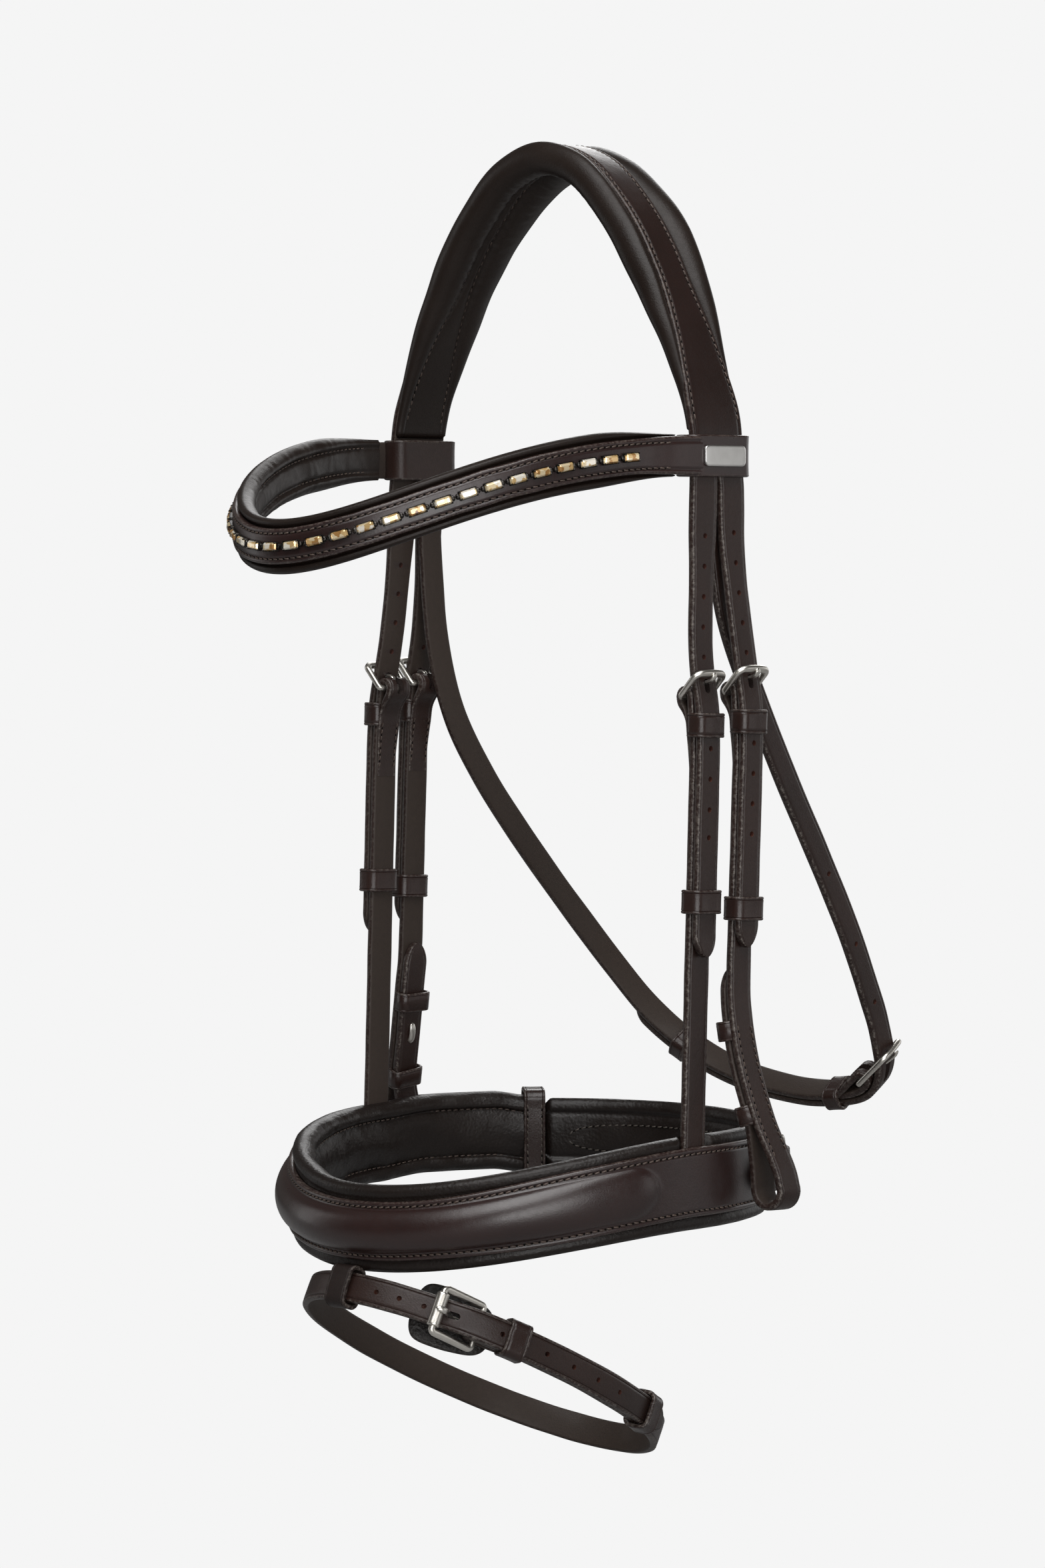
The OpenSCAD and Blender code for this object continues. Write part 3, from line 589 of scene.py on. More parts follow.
# edge colours: light grey on the corners, partly worn edge, partly painted highlight
M_STRAP = leather("strap_leather", (0.0162, 0.0080, 0.0062), (0.0215, 0.0099, 0.0074), 0.42, 1500, 0.00005, edge=(0.135, 0.118, 0.104), back=BACK, coat=0.06)
M_PANEL = leather("panel_leather", (0.0130, 0.0043, 0.0036), (0.0182, 0.0056, 0.0045), 0.34, 1500, 0.00003, edge=(0.10, 0.078, 0.066), back=BACK, coat=0.45, spec=0.48, crough=0.34)
M_CROWN = leather("crown_leather", (0.0125, 0.0060, 0.0047), (0.0170, 0.0074, 0.0057), 0.37, 1500, 0.00003, edge=(0.10, 0.078, 0.066), back=BACK, coat=0.03)
M_KEEP = leather("keeper_leather", (0.0185, 0.0098, 0.0080), (0.0250, 0.0120, 0.0096), 0.33, 1400, 0.00004, edge=(0.12, 0.102, 0.09), back=BACK, coat=0.14)
M_LINE = leather("lining_leather", (0.0074, 0.0046, 0.0036), (0.0100, 0.0062, 0.0047), 0.42, 760, 0.00012, wrinkle=0.00034, edge=(0.03, 0.026, 0.022), spec=0.32)
M_ROLL = leather("roll_leather", (0.0112, 0.0072, 0.0056), (0.0146, 0.0094, 0.0072), 0.40, 1500, 0.00004, wrinkle=0.00016, edge=(0.03, 0.026, 0.022), spec=0.26)
M_TAB = leather("tab_leather", (0.0090, 0.0052, 0.0042), (0.0120, 0.0064, 0.0050), 0.50, 1500, 0.00004, edge=(0.09, 0.075, 0.066), back=BACK, spec=0.3)
M_SAFE = leather("safe_leather", (0.0095, 0.0078, 0.0068), (0.014, 0.011, 0.0095), 0.46, 620, 0.00030, wrinkle=0.0012, edge=(0.05, 0.042, 0.037), back=BACK)
M_RAW = leather("raw_leather", (0.045, 0.013, 0.008), (0.075, 0.022, 0.012), 0.8, 1500, 0.0001)
M_SLOT = leather("slot_leather", (0.012, 0.006, 0.0045), (0.018, 0.008, 0.006), 0.8, 1500, 0.0001)
M_TAN = leather("tan_leather", (0.42, 0.15, 0.055), (0.50, 0.20, 0.08), 0.7, 1500, 0.0001)
# near-black: painted shade for the insides of the stitch holes
M_HOLE_SHADE = leather("stitch_hole_shade", (0.0026, 0.0019, 0.0016), (0.0040, 0.0028, 0.0022), 0.85, 1500, 0.00002, spec=0.1)
M_THREAD = thread("thread", (0.028, 0.018, 0.014), (0.085, 0.058, 0.045))
M_THREAD_L = thread("thread_lining", (0.03, 0.025, 0.02), (0.07, 0.056, 0.044))
M_STEEL = metal("steel", (0.63, 0.605, 0.555), (0.70, 0.675, 0.625), 0.31, 0.03, 0.000001)
M_PLATE = metal("plate_steel", (0.64, 0.63, 0.61), (0.70, 0.69, 0.67), 0.30, 0.03, 0.000001)
M_CUP = metal("cup_metal", (0.035, 0.032, 0.03), (0.06, 0.055, 0.05), 0.3)


def painted_glint_stone_mat():
    m, nt, p = new_mat("stone_glass_painted_glints")
    L = nt.links.new
    ta = node(nt, "ShaderNodeAttribute", attribute_name="tone").outputs["Fac"]
    co = node(nt, "ShaderNodeTexCoord").outputs["Object"]
    v = node(nt, "ShaderNodeTexVoronoi", distance="CHEBYCHEV")
    v.inputs["Scale"].default_value = 470
    L(co, v.inputs["Vector"])
    sp = node(nt, "ShaderNodeSeparateColor")
    L(v.outputs["Color"], sp.inputs[0])
    # facet colours from dark brown to near white: painted highlights and reflections of a clear stone on the light
    # facets, painted shade on the dark facets
    cr = node(nt, "ShaderNodeValToRGB")
    cr.color_ramp.interpolation = "CONSTANT"
    e = cr.color_ramp.elements
    e[0].position, e[0].color = 0.0, (0.10, 0.045, 0.014, 1)
    e[1].position, e[1].color = 0.80, (0.96, 0.90, 0.78, 1)
    for pos, c in ((0.16, (0.42, 0.22, 0.07, 1)), (0.38, (0.66, 0.45, 0.20, 1)), (0.60, (0.80, 0.66, 0.42, 1))):
        cr.color_ramp.elements.new(pos).color = c
    L(math_n(nt, "ADD", math_n(nt, "MULTIPLY", ta, 0.42), math_n(nt, "MULTIPLY", sp.outputs[0], 0.62)), cr.inputs[0])
    L(cr.outputs[0], p.inputs["Base Color"])
    p.inputs["Metallic"].default_value = 0.45
    p.inputs["Roughness"].default_value = 0.10
    p.inputs["Coat Weight"].default_value = 1.0
    p.inputs["Coat Roughness"].default_value = 0.02
    return m


M_STONE_GLINTS = painted_glint_stone_mat()


# ---------------------------------------------------------------- placing pieces
def cut(o, C, mats):
    """Takes the closed cutter mesh C out of o."""
    c = C.obj(o.name + "_cutter", mats, flat=False, sharp=40)
    md = o.modifiers.new("cut", "BOOLEAN")
    md.operation, md.solver, md.object = "DIFFERENCE", "EXACT", c
    md.material_mode = "TRANSFER"
    me = bpy.data.meshes.new_from_object(o.evaluated_get(bpy.context.evaluated_depsgraph_get()))
    if len(me.vertices) < 0.8 * len(o.data.vertices):  # cutters that overlap
        md.use_self = True
        me = bpy.data.meshes.new_from_object(o.evaluated_get(bpy.context.evaluated_depsgraph_get()))
    if len(me.vertices) < 0.8 * len(o.data.vertices):
        raise RuntimeError("cut failed on " + o.name)
    o.modifiers.clear()
    old = o.data
    name = old.name
    o.data = me
    bpy.data.meshes.remove(old)
    me.name = name
    cm = c.data
    bpy.data.objects.remove(c)
    bpy.data.meshes.remove(cm)
    me.set_sharp_from_angle(angle=radians(50))
    return o


def cyl(C, p, n, r, h, k=20):
    """Closed cylinder about p along n."""
    n = unit(n)
    u = unit(np.cross(n, A(0.3, 0.5, 0.81)))
    v = np.cross(n, u)
    a = np.arange(k) * 2 * pi / k
    c = np.cos(a)[:, None] * u + np.sin(a)[:, None] * v
    V = np.r_[p - n * h / 2 + c * r, p + n * h / 2 + c * r]
    F = [(j, (j + 1) % k, k + (j + 1) % k, k + j) for j in range(k)] + [tuple(range(k - 1, -1, -1)), tuple(range(k, 2 * k))]
    C.add(V, F)


def slot_cut(C, p, n, t, w, half, r, h, k=10, mat=1):
    """Closed round-ended slot through p along n, long in t."""
    n, t, w = unit(n), unit(t), unit(w)
    out = []
    for s in (1, -1):
        for q in range(k + 1):
            a = pi * q / k - pi / 2
            out.append(s * (t * (half + r * cos(a)) + w * r * sin(a)))
    out = np.array(out)
    m = len(out)
    V = np.r_[p - n * h / 2 + out, p + n * h / 2 + out]
    F = [(j, (j + 1) % m, m + (j + 1) % m, m + j) for j in range(m)] + [tuple(range(m - 1, -1, -1)), tuple(range(m, 2 * m))]
    C.add(V, F, mat)


def put(o, body=None, nodes=(), slot=None, blend=None, pad=None):
    if nodes:
        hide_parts(*nodes)
    if blend:
        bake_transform(o)
    else:
        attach(o, body)
    return o


# ---------------------------------------------------------------- headpiece
HEAD_TOP = -113.2
_a = [(86, -129.2), (86, -112), (84, -100), (79, -84), (71, -63), (56, -34), (41, -14), (22.5, 2.2), (0, 8.5)]
_a = [A(x, 0, z) for x, z in _a]
ARCH = spl(_a + [p * A(-1, 1, 1) for p in _a[-2::-1]], 30)
ARCH = resample(ARCH, 1.5)
_in = ARCH[:, 2] > HEAD_TOP
CROWN = ARCH[_in]
W, N = frames(CROWN, (0, 1, 0), -1)
arch_hw = lambda z: mix(8.6, 14.5, sst(-z, 42, 102))
CROWN[:, 1] -= 0.9 * (1 - sst(-CROWN[:, 2], 50, 95))
HB = arch_hw(CROWN[:, 2])
m = Mesh()
strap(m, CROWN, W, N, HB, prof=PANEL)
put(m.obj("headpiece_strip", [M_CROWN]), "headpiece", ["headpiece_leather"], "crown_leather")
s = Mesh()
for q in (-1, 1):
    ln = CROWN + W * (q * (HB - 2.05))[:, None] + N * 1.32
    keep = CROWN[:, 2] > -106
    stitches(s, ln[keep], N[keep], 3.0, 2.4, 0.34, slant=0.1 * q)
# padded lining: across, outward
def cushion(b, k, dy, dn):
    half = [(b - 2.5, -1.75), (b + 0.35, -1.65), (b + 0.55, 0.3 * k), (b + 1.6 * k + 0.4, 2.0 * k), (b + 4.3 * k + 0.2, 1.9 * k), (b + 6.8 * k, -0.7 * k), (b + 7.9 * k, -4.4 * k), (b + 7.0 * k, -8.2 * k),
            (b + 4.0 * k, -10.7 * k), (b + 0.3 * k, -11.3 * k), (b - 2.9 * k, -10.3 * k), (b - 4.9 * k, -8.6 * k), (max(b - 6.0 * k, 1.6), -6.9 * k - 0.4), (max(b - 7.2 * k, 1.0), -8.0 * k - 0.3)]
    # the rear roll stands fuller than the front one
    full = (0, 0, 0.1, 0.45, 0.8, 1, 1, 0.9, 0.6, 0.3, 0.1, 0, 0, 0)
    rear = [(x + dy * q, y + dn * q) for (x, y), q in zip(half, full)]
    return rear + [(0, -8.7 * k - 0.2)] + [(-x, y) for x, y in half[::-1]] + [(0, -1.8)]


keep = CROWN[:, 2] > -109.0
P = CROWN[keep]
WP, NP = W[keep], N[keep]
z = P[:, 2]
kk = mix(1.0, 0.3, sst(-z, 30, 104)) * mix(1, 0.5, sst(-z, 106.5, 109))
bl = arch_hw(z) - 2.75 * sst(-z, 55, 100)
dy = (1 - sst(-z, 40, 96)) * mix(6.2, 3.6, sst(-z, 12, 48))
dn = 2.9 * sst(-z, 0, 30) * (1 - sst(-z, 40, 80)) - 0.8 * (1 - sst(-z, -5, 12))
rings = np.array([ring_spl(cushion(*q), 4) for q in zip(bl, kk, dy, dn)])
m = Mesh()
V = sweep(m, P, WP, NP, rings)
v = m.V[0]
run = m.at["run"][0]
under = np.clip((-(rings[..., 1].reshape(-1)) - 5.0) / 4, 0, 1) * np.clip((14.0 - np.abs(rings[..., 0].reshape(-1))) / 5, 0, 1)
top = np.repeat(np.exp(-((np.abs(P[:, 0]) - 30) / 42) ** 2), rings.shape[1])
nrm = np.repeat(NP, rings.shape[1], 0)
fold = np.sin(run / 1.9 * 2 * pi / 2 + 2.2 * wob(v, 0.06, 3)) * 0.5 + 0.5 * np.sin(run / 2.7 * 2 * pi / 2 + 2.6 * wob(v, 0.05, 5))
m.V[0] = v + nrm * (fold * under * top * 0.45 + 0.14 * wob(v, 0.03, 11) * (1 - sst(-v[:, 2], 92, 101)))[:, None]
put(m.obj("headpiece_lining", [M_ROLL], sharp=70), "headpiece", ["headpiece_padding"], "lining", pad=0.75)
for q in (-1, 1):
    ln = P + WP * (q * np.maximum(bl - 6.0 * kk, 1.6))[:, None] - NP * (6.9 * kk + 0.4 + 0.05)[:, None]
    stitches(s, ln[4:-4], -NP[4:-4], 3.2, 2.3, 0.3, slant=0.1)
put(s.obj("headpiece_stitching", [M_THREAD, M_HOLE_SHADE]), "headpiece", slot="crown_leather")

# ---------------------------------------------------------------- browband
def brow(t):
    t = np.asarray(t, float)
    return np.stack([87 * cd(t), -17.9 - 141 * sd(t), -117.8 - 36 * np.maximum(sd(t), 0) ** 2.3], -1)


def brow_n(t):
    t = np.asarray(t, float)
    return unit(np.stack([141 * cd(t), -87 * sd(t), 0 * t], -1))


tt = np.linspace(0, 180, 1441)
bt = np.interp(np.linspace(0, 1, 300), length(brow(tt)) / length(brow(tt))[-1], tt)
P = brow(bt)
N = brow_n(bt)
Wz = np.broadcast_to(A(0, 0, 1), P.shape)
# the ends lie over the headpiece as the outer face of the loops
PB = np.r_[A(88.9, -12.2, -117.8)[None], A(88.9, -14.5, -117.8)[None], P, A(-88.9, -14.5, -117.8)[None], A(-88.9, -12.2, -117.8)[None]]
sh = 1.9 * (1 - sst(np.minimum(bt, 180 - bt), 2, 9))
PB[2:-2, 0] += np.sign(P[:, 0]) * sh
NB = np.r_[N[:1], N[:1], N, N[-1:], N[-1:]]
Wb = np.broadcast_to(A(0, 0, 1), PB.shape)
HBR = 7.0 + 0.7 * (1 - sst(np.minimum(np.r_[0, 0, bt, 180, 180], 180 - np.r_[0, 0, bt, 180, 180]), 2, 10))
m = Mesh()
strap(m, PB, Wb, NB, HBR, prof=PANEL, t=np.where(HBR > 7.3, 1.45, 1.5))
put(m.obj("browband_strip", [M_PANEL]), "browband", ["browband_leather"], "panel_leather")
s = Mesh()
sel = (bt > 4) & (bt < 176)
for q in (-1, 1):
    ln = (P + A(0, 0, 1) * q * 4.95 + N * 1.32)[sel]
    ln[:, 0] += (np.sign(P[:, 0]) * sh)[sel]
    stitches(s, ln, N[sel], 3.0, 2.4, 0.34, slant=0.16 * q)
# lining
def brow_ring(k):
    half = [(-1.75, 5.6), (-1.7, 7.2), (-0.5 * k - 1.0 * (1 - k), 7.5 + 0.9 * k), (-0.5, 7.6 + 2.2 * k), (-2.4, 7.8 + 3.0 * k), (-2.2 - 2.7 * k, 7.6 + 2.7 * k), (-2.4 - 4.4 * k, 7.0 + 1.6 * k), (-2.4 - 5.1 * k, 6.6), (-2.2 - 4.0 * k, 5.0), (-2.3 - 4.9 * k, 3.3)]
    return half + [(-2.4 - 5.2 * k, 0)] + [(a, -b) for a, b in half[::-1]] + [(-1.8, 0)]


sel = (bt > 2.2) & (bt < 177.8)
Pl, Nl = P[sel], N[sel]
kb = mix(0.22, 1.0, sst(np.minimum(bt, 180 - bt)[sel], 2, 20))
R = np.array([ring_spl(brow_ring(k), 4) for k in kb])[..., ::-1]
m = Mesh()
sweep(m, Pl, np.broadcast_to(A(0, 0, 1), Pl.shape), Nl, R)
v = m.V[0]
inw = np.clip(-R[..., 1].reshape(-1) / 7, 0, 1)
run = m.at["run"][0]
m.V[0] = v + np.repeat(Nl, R.shape[1], 0) * (0.25 * wob(v, 0.05, 21) * inw + 0.12 * np.sin(run / 1.4 + 2.5 * wob(v, 0.06, 23)) * inw)[:, None]
put(m.obj("browband_lining", [M_ROLL], sharp=70), "browband", ["browband_padding"], "lining", pad=0.7)
sl = (bt > 6) & (bt < 174)
for q in (-1, 1):
    kq = mix(0.22, 1.0, sst(np.minimum(bt, 180 - bt)[sl], 2, 20))
    ln = P[sl] + A(0, 0, 1) * q * 5.0 - N[sl] * (2.2 + 4.0 * kq)[:, None]
    stitches(s, ln, -N[sl], 3.0, 2.2, 0.28, slant=0.1)
put(s.obj("browband_stitching", [M_THREAD, M_HOLE_SHADE]), "browband", slot="panel_leather")
# loops round the headpiece
for side, q in (("near", 1), ("far", -1)):
    m = Mesh()
    band(m, A(84.35, 0, -117.8), A(1, 0, 0), A(0, 1, 0), A(0, 0, 1), -3.8, 3.5, 14.85, 16.6, 2.6, r=2.2, crease=False, swell=0.0)
    m = m if q > 0 else m.mirrored()
    put(m.obj(side + "_browband_loop_leather", [M_PANEL if q > 0 else M_STRAP]), "browband", [side + "_browband_loop"], "keeper_leather")
# stones in their cups
dl = length(brow(np.linspace(90, 180, 721)))
m, cup = Mesh(), Mesh()
rs = np.random.default_rng(12)
prev = None
for k in range(31):
    j = k - 15
    t = 90 + np.sign(j) * np.interp(abs(j) * 10.3, dl, np.linspace(0, 90, 721))
    p, n = brow(t), brow_n(t)
    d = brow(t + 0.5) - brow(t - 0.5)
    d = unit(d - np.dot(d, n) * n)
    w = np.cross(n, d)
    c = p + n * 1.55
    put3 = lambda X: c + X[:, :1] * d + X[:, 1:2] * w + X[:, 2:] * n
    # step-cut stone: girdle, crown steps, table
    lv = [(3.35, 1.45, 0.35), (3.55, 1.62, 1.05), (3.1, 1.25, 1.85), (2.55, 0.82, 2.3)]
    V = []
    for x, y, h in lv:
        ch = 0.42 * y / 1.6
        V += [[x, y - ch, h], [x - ch, y, h], [-x + ch, y, h], [-x, y - ch, h], [-x, -y + ch, h], [-x + ch, -y, h], [x - ch, -y, h], [x, -y + ch, h]]
    F = grid_faces(4, 8) + [tuple(range(7, -1, -1)), tuple(range(24, 32))]
    V = np.array(V)
    V[:, 2] += rs.uniform(-0.12, 0.12) * V[:, 0] / 3.5 + rs.uniform(-0.1, 0.1) * V[:, 1] / 1.6
    # tone sets each stone's painted glint level, from dark painted shade to near-white painted highlight
    m.add(put3(V), F, tone=rs.choice([0.12, 0.35, 0.5, 0.72, 0.95], p=[0.12, 0.25, 0.22, 0.23, 0.18]))
    # cup with four corner claws
    o = rounded(-3.85, 3.85, -1.9, 1.9, 0.5, 4)
    kq = len(o)
    o2 = rounded(-3.6, 3.6, -1.66, 1.66, 0.4, 4)
    o2 = resample(np.r_[o2, o2[:1]], length(np.r_[o2, o2[:1]])[-1] / kq)[:kq]
    lay = [np.c_[o, np.full(kq, 0.0)], np.c_[o, np.full(kq, 1.15)], np.c_[o * 0.985, np.full(kq, 1.3)], np.c_[o2, np.full(kq, 1.25)], np.c_[o2, np.full(kq, 0.25)]]
    cup.add(put3(np.concatenate(lay)), grid_faces(5, kq) + [tuple(range(kq - 1, -1, -1)), tuple(range(4 * kq, 5 * kq))])
    for sx in (-1, 1):
        for sy in (-1, 1):
            q0 = np.array([[sx * 3.55, sy * 1.62, 0.9], [sx * 3.45, sy * 1.52, 1.55], [sx * 3.05, sy * 1.2, 1.98]])
            q0 = put3(q0)
            Wc, Nc = frames(resample(q0, 0.3), d + w)
            sweep(cup, resample(q0, 0.3), Wc, Nc, oval(8, 2) * 0.27)
    if prev is not None:  # links between the cups
        for f in (0.40, 0.60):
            t2 = mix(prev, t, f)
            pc, nc = brow(t2), brow_n(t2)
            dc = unit(brow(t2 + 0.5) - brow(t2 - 0.5))
            wc = np.cross(nc, dc)
            ring = []
            for hh, rr in ((0.0, 0.95), (0.6, 1.05), (1.15, 0.85), (1.45, 0.4)):
                for a in np.arange(10) * 2 * pi / 10:
                    ring.append(pc + nc * (1.55 + hh) + dc * rr * 0.95 * cos(a) + wc * rr * 1.15 * sin(a))
            cup.add(ring, grid_faces(4, 10) + [tuple(range(9, -1, -1)), tuple(range(30, 40))])
    prev = t
put(m.obj("browband_cut_stones", [M_STONE_GLINTS], flat=True), "browband", ["browband_stones"], "stone")
put(cup.obj("browband_cup_chain", [M_CUP], sharp=35), "browband", ["browband_setting"], "setting")
# plain plate on the near loop
m = Mesh()
lay = []
for g, h in ((0.0, 0.0), (0.0, 0.75), (0.12, 0.95), (0.4, 1.06), (1.0, 1.1)):
    o = rounded(-11.75 + g, 11.75 - g, -4.2 + g, 4.2 - g, 1.9 - min(g, 0.8), 6)
    o = resample(np.r_[o, o[:1]], length(np.r_[o, o[:1]])[-1] / 64)[:64]
    lay.append(np.c_[np.full(64, 90.45 + h), o[:, 0], -117.8 + o[:, 1]])
m.add(np.concatenate(lay), grid_faces(5, 64) + [tuple(range(63, -1, -1)), tuple(range(256, 320))])
put(m.obj("browband_plate_metal", [M_PLATE], sharp=40), "browband", ["browband_plate"], "plate")

# ---------------------------------------------------------------- cheek sides
def placed(O, tilt):
    c, sn = cos(radians(tilt)), sin(radians(tilt))

    def f(p):
        p = np.asarray(p, float)
        return np.stack([O[0] + p[..., 0], O[1] + p[..., 1] * c - p[..., 2] * sn, O[2] + p[..., 1] * sn + p[..., 2] * c], -1)

    return f


def turned(tilt):
    f = placed((0, 0, 0), tilt)
    return f


NOSE, NT = (91.5, -13.2, -213.5), -1.9
CHEEK, CT = (94.8, 8.6, -212), -2.2
on_nose, on_cheek = placed(NOSE, NT), placed(CHEEK, CT)
OVER = [(-0.6, 0, 9), (1.5, 0, 0), (2.7, 0, -8), (3.25, 0, -18), (3.4, 0, -26)]
NOSE_UP = [(-5, 2.6, 82.4), (-4.7, 2.3, 64), (-4.0, 1.6, 46), (-3.3, 0.9, 32), (-2.3, 0.3, 20)]
CHEEK_UP = [(-8.3, -3.8, 80.9), (-7.6, -3.3, 62), (-6.2, -2.2, 46), (-4.5, -1.1, 32), (-2.7, -0.3, 20)]
HEEL, BAR = A(-5, 0, 0), A(3.4, 0, 9)
HOOK = [(1.6, 0.02), (3.2, 0.15), (4.3, 0.55), (4.95, 1.7), (5.3, 3.3), (5.75, 5.4), (6.15, 7.3), (6.6, 8.9), (7.35, 10.15), (8.4, 10.85), (9.5, 10.8), (10.3, 10.35)]


def billet_path(up, tip, curl):
    L = spl(up + OVER, 20)
    zz = np.linspace(-26, tip, 60)[1:]
    tail = np.stack([3.4 + curl * sst(-zz, -tip - 10, -tip), 0 * zz, zz], 1)
    return np.r_[L, tail]


def fold_pts(r=3.0, ply=True):
    """Turned-in end, up round the heel bar and down the outside."""
    inner = spl([(-1.55, 0, -37), (-1.66, 0, -30), (-1.96, 0, -22), (-2.7, 0, -15), (-3.45, 0, -9.5), (-5.2, 0, -5.6), (-7.3, 0, -2.6), (-8, 0, 0)], 10)
    a = np.radians(np.arange(170, 9, -10))
    arc = np.stack([HEEL[0] + r * np.cos(a), 0 * a, r * np.sin(a)], 1)
    outer = spl([(-2, 0, 0), (-1.85, 0, -2.5), (-1.3, 0, -8), (-0.4, 0, -17), (0, 0, -26)], 10)
    return inner, np.r_[arc, outer]


OUT = [(0, 0, -26), (0, 0, -70), (0, 0, -112), (1.4, 0, -128), (5, 1.6, -148), (11, 5.2, -170), (17.8, 9.9, -188.5), (19.75, 11.7, -197.7)]
INN = [(-3.4, 0, -110), (-3.3, 0, -116), (-2, 0, -129), (1.4, 1.6, -149), (6.6, 5.2, -170), (6.2, 9.9, -187.5), (5.65, 11.7, -197.7)]
OUT6, INN6 = spl(OUT, 6), spl(INN, 6)
BIT = A(12.7, 11.7, -197.7)
UPTOP = {"nose": [(86.0, -7.25, HEAD_TOP + 1.0), (86.05, -7.3, -120), (86.3, -7.6, -126)], "cheek": [(86.0, 7.25, HEAD_TOP + 1.0), (86.05, 7.3, -120), (86.3, 7.6, -126)]}


def near_far(M, side):
    return M if side == "near" else M.mirrored()


def at_z(P, z):
    i = int(np.argmin(np.abs(P[:, 2] - z)))
    return i


for side in ("near", "far"):
    sx = 1 if side == "near" else -1
    for kind, on, tilt, up, tip, curl, kz, rz in (("nose", on_nose, NT, NOSE_UP, -103, 0.9, -11, -81), ("cheek", on_cheek, CT, CHEEK_UP, -101.5, 0.12, -11.5, -86)):
        body = "noseband" if kind == "nose" else side + "_cheek"
        yv = turned(tilt)(A(0, 1, 0))
        zv = turned(tilt)(A(0, 0, 1))
        xv = A(1, 0, 0)
        # billet, running up into the browband loop
        loc = billet_path(up, tip, curl)
        G = np.r_[spl([A(*p) for p in UPTOP[kind]] + [on(loc[0]), on(loc[8])], 12)[:-12], on(loc)]
        G = resample(G, 1.1, tip=9)
        locz = (G - A(*(NOSE if kind == "nose" else CHEEK))) @ zv
        W, N = frames(G, (0, 1, 0))
        H = np.minimum(mix(6.0, 7.05, sst(locz, 38, 76)), tip_width(G, 6.0) + 10 * (length(G)[-1] - length(G) > 20))
        m = Mesh()
        strap(m, G, W, N, H)
        o = near_far(m, side).obj("%s_%s_billet_leather" % (side, kind), [M_STRAP, M_RAW])
        C = Mesh()
        for hz in [15.5, 27.5, 39.5, 51.5, 63.5] + [4 - 12 * k for k in (2, 3, 4, 5)]:
            i = int(np.argmin(np.abs(locz - hz)))
            cyl(C, G[i], N[i], 1.1, 7)
        i = int(np.argmin(np.abs(locz - 4.2)))
        slot_cut(C, G[i] + zv * (4.2 - locz[i]), N[i], zv, yv, 1.6, 1.38, 12)
        cut(o, near_far(C, side), [M_RAW, M_SLOT])
        a = G[0] * A(sx, 1, 1)
        put(o, nodes=["%s_%s_billet" % (side, kind)], slot="strap_leather", blend=("headpiece", body, (a[0], a[1], -123.5), (a[0], a[1], -140)))
        # lower strap folded round the heel bar
        inner, outer = fold_pts()
        if kind == "nose":
            low = np.r_[inner, outer, np.stack([np.zeros(60), np.zeros(60), np.linspace(-29, -196, 60)], 1)]
        else:
            arc = np.radians(np.linspace(0, 180, 37))
            loop = np.stack([BIT[0] + 7.05 * np.cos(arc), np.full(37, BIT[1]), BIT[2] - 7.05 * np.sin(arc)], 1)
            low = np.r_[inner, outer, spl(OUT, 20)[1:-1], loop, spl(INN, 20)[::-1][1:]]
        G = resample(on(low), 1.1, tip=9 if kind == "cheek" else 0)
        W, N = frames(G, yv)
        d = length(G)
        t = 0.10 + 0.28 * sst(d, 0, 16) + 0.12 * sst(d, 5, 24) + 1.0 * sst(d, 26, 37)
        H = 6.0 - 0.95 * (1 - sst(d, 4, 24))
        if kind == "cheek":
            H = np.minimum(H, tip_width(G, 6.0))
        m = Mesh()
        strap(m, G, W, N, H, t=t)
        nm = "%s_nose_strap_leather" % side if kind == "nose" else "%s_cheekpiece_leather" % side
        o = near_far(m, side).obj(nm, [M_STRAP, M_RAW])
        C = Mesh()
        slot_cut(C, on(HEEL) + zv * 1.2, xv, zv, yv, 2.0, 1.9, 12)
        if kind == "cheek":
            sp = on(A(2.13, 1.9, -150.97))
            sn = unit(turned(tilt)(A(1, 0, 0.28)))
            sz = unit(turned(tilt)(A(-0.28, -0.12, 1)))
            slot_cut(C, sp - sz * 4.5 - sn * 0.4, sn, sz, yv, 7.0, 0.55, 2.6, mat=0)
        cut(o, near_far(C, side), [M_TAN, M_SLOT])
        put(o, body, ["%s_nose_strap" % side if kind == "nose" else "%s_cheekpiece" % side], "strap_leather")
        # sewing
        s = Mesh()
        sel = (d > 3.0) & (d < 24)
        for q in (-1, 1):
            stitches(s, (G + W * q * 4.15 + N * (t * 0.99)[:, None])[sel], N[sel], 2.8, 2.1, 0.27)
        if kind == "cheek":
            i0 = int(np.argmin(np.linalg.norm(G - on(A(*OUT6[19])), axis=1)))
            i1 = int(np.argmin(np.linalg.norm(G - on(A(*OUT6[35])), axis=1)))
            for q in (-1, 1):
                stitches(s, (G + W * q * 3.9 + N * 1.5)[i0:i1], N[i0:i1], 2.9, 2.25, 0.3, slant=0.14 * q)
        put(near_far(s, side).obj("%s_%s_stitching" % (side, kind), [M_THREAD, M_HOLE_SHADE]), body, slot="strap_leather")
        # buckle and tongue
        m = Mesh()
        buckle(m, on(HEEL), on(BAR), yv, xv, 8.0)
        put(near_far(m, side).obj("%s_%s_buckle_frame" % (side, kind), [M_STEEL]), body, ["%s_%s_buckle" % (side, kind)], "steel")
        m = Mesh()
        tongue(m, on(HEEL), on(BAR), yv, xv, 1.5, knee=HOOK)
        put(near_far(m, side).obj("%s_%s_buckle_tongue" % (side, kind), [M_STEEL]), "%s_%s_tongue" % (side, kind), ["%s_%s_tongue" % (side, kind)], "steel")
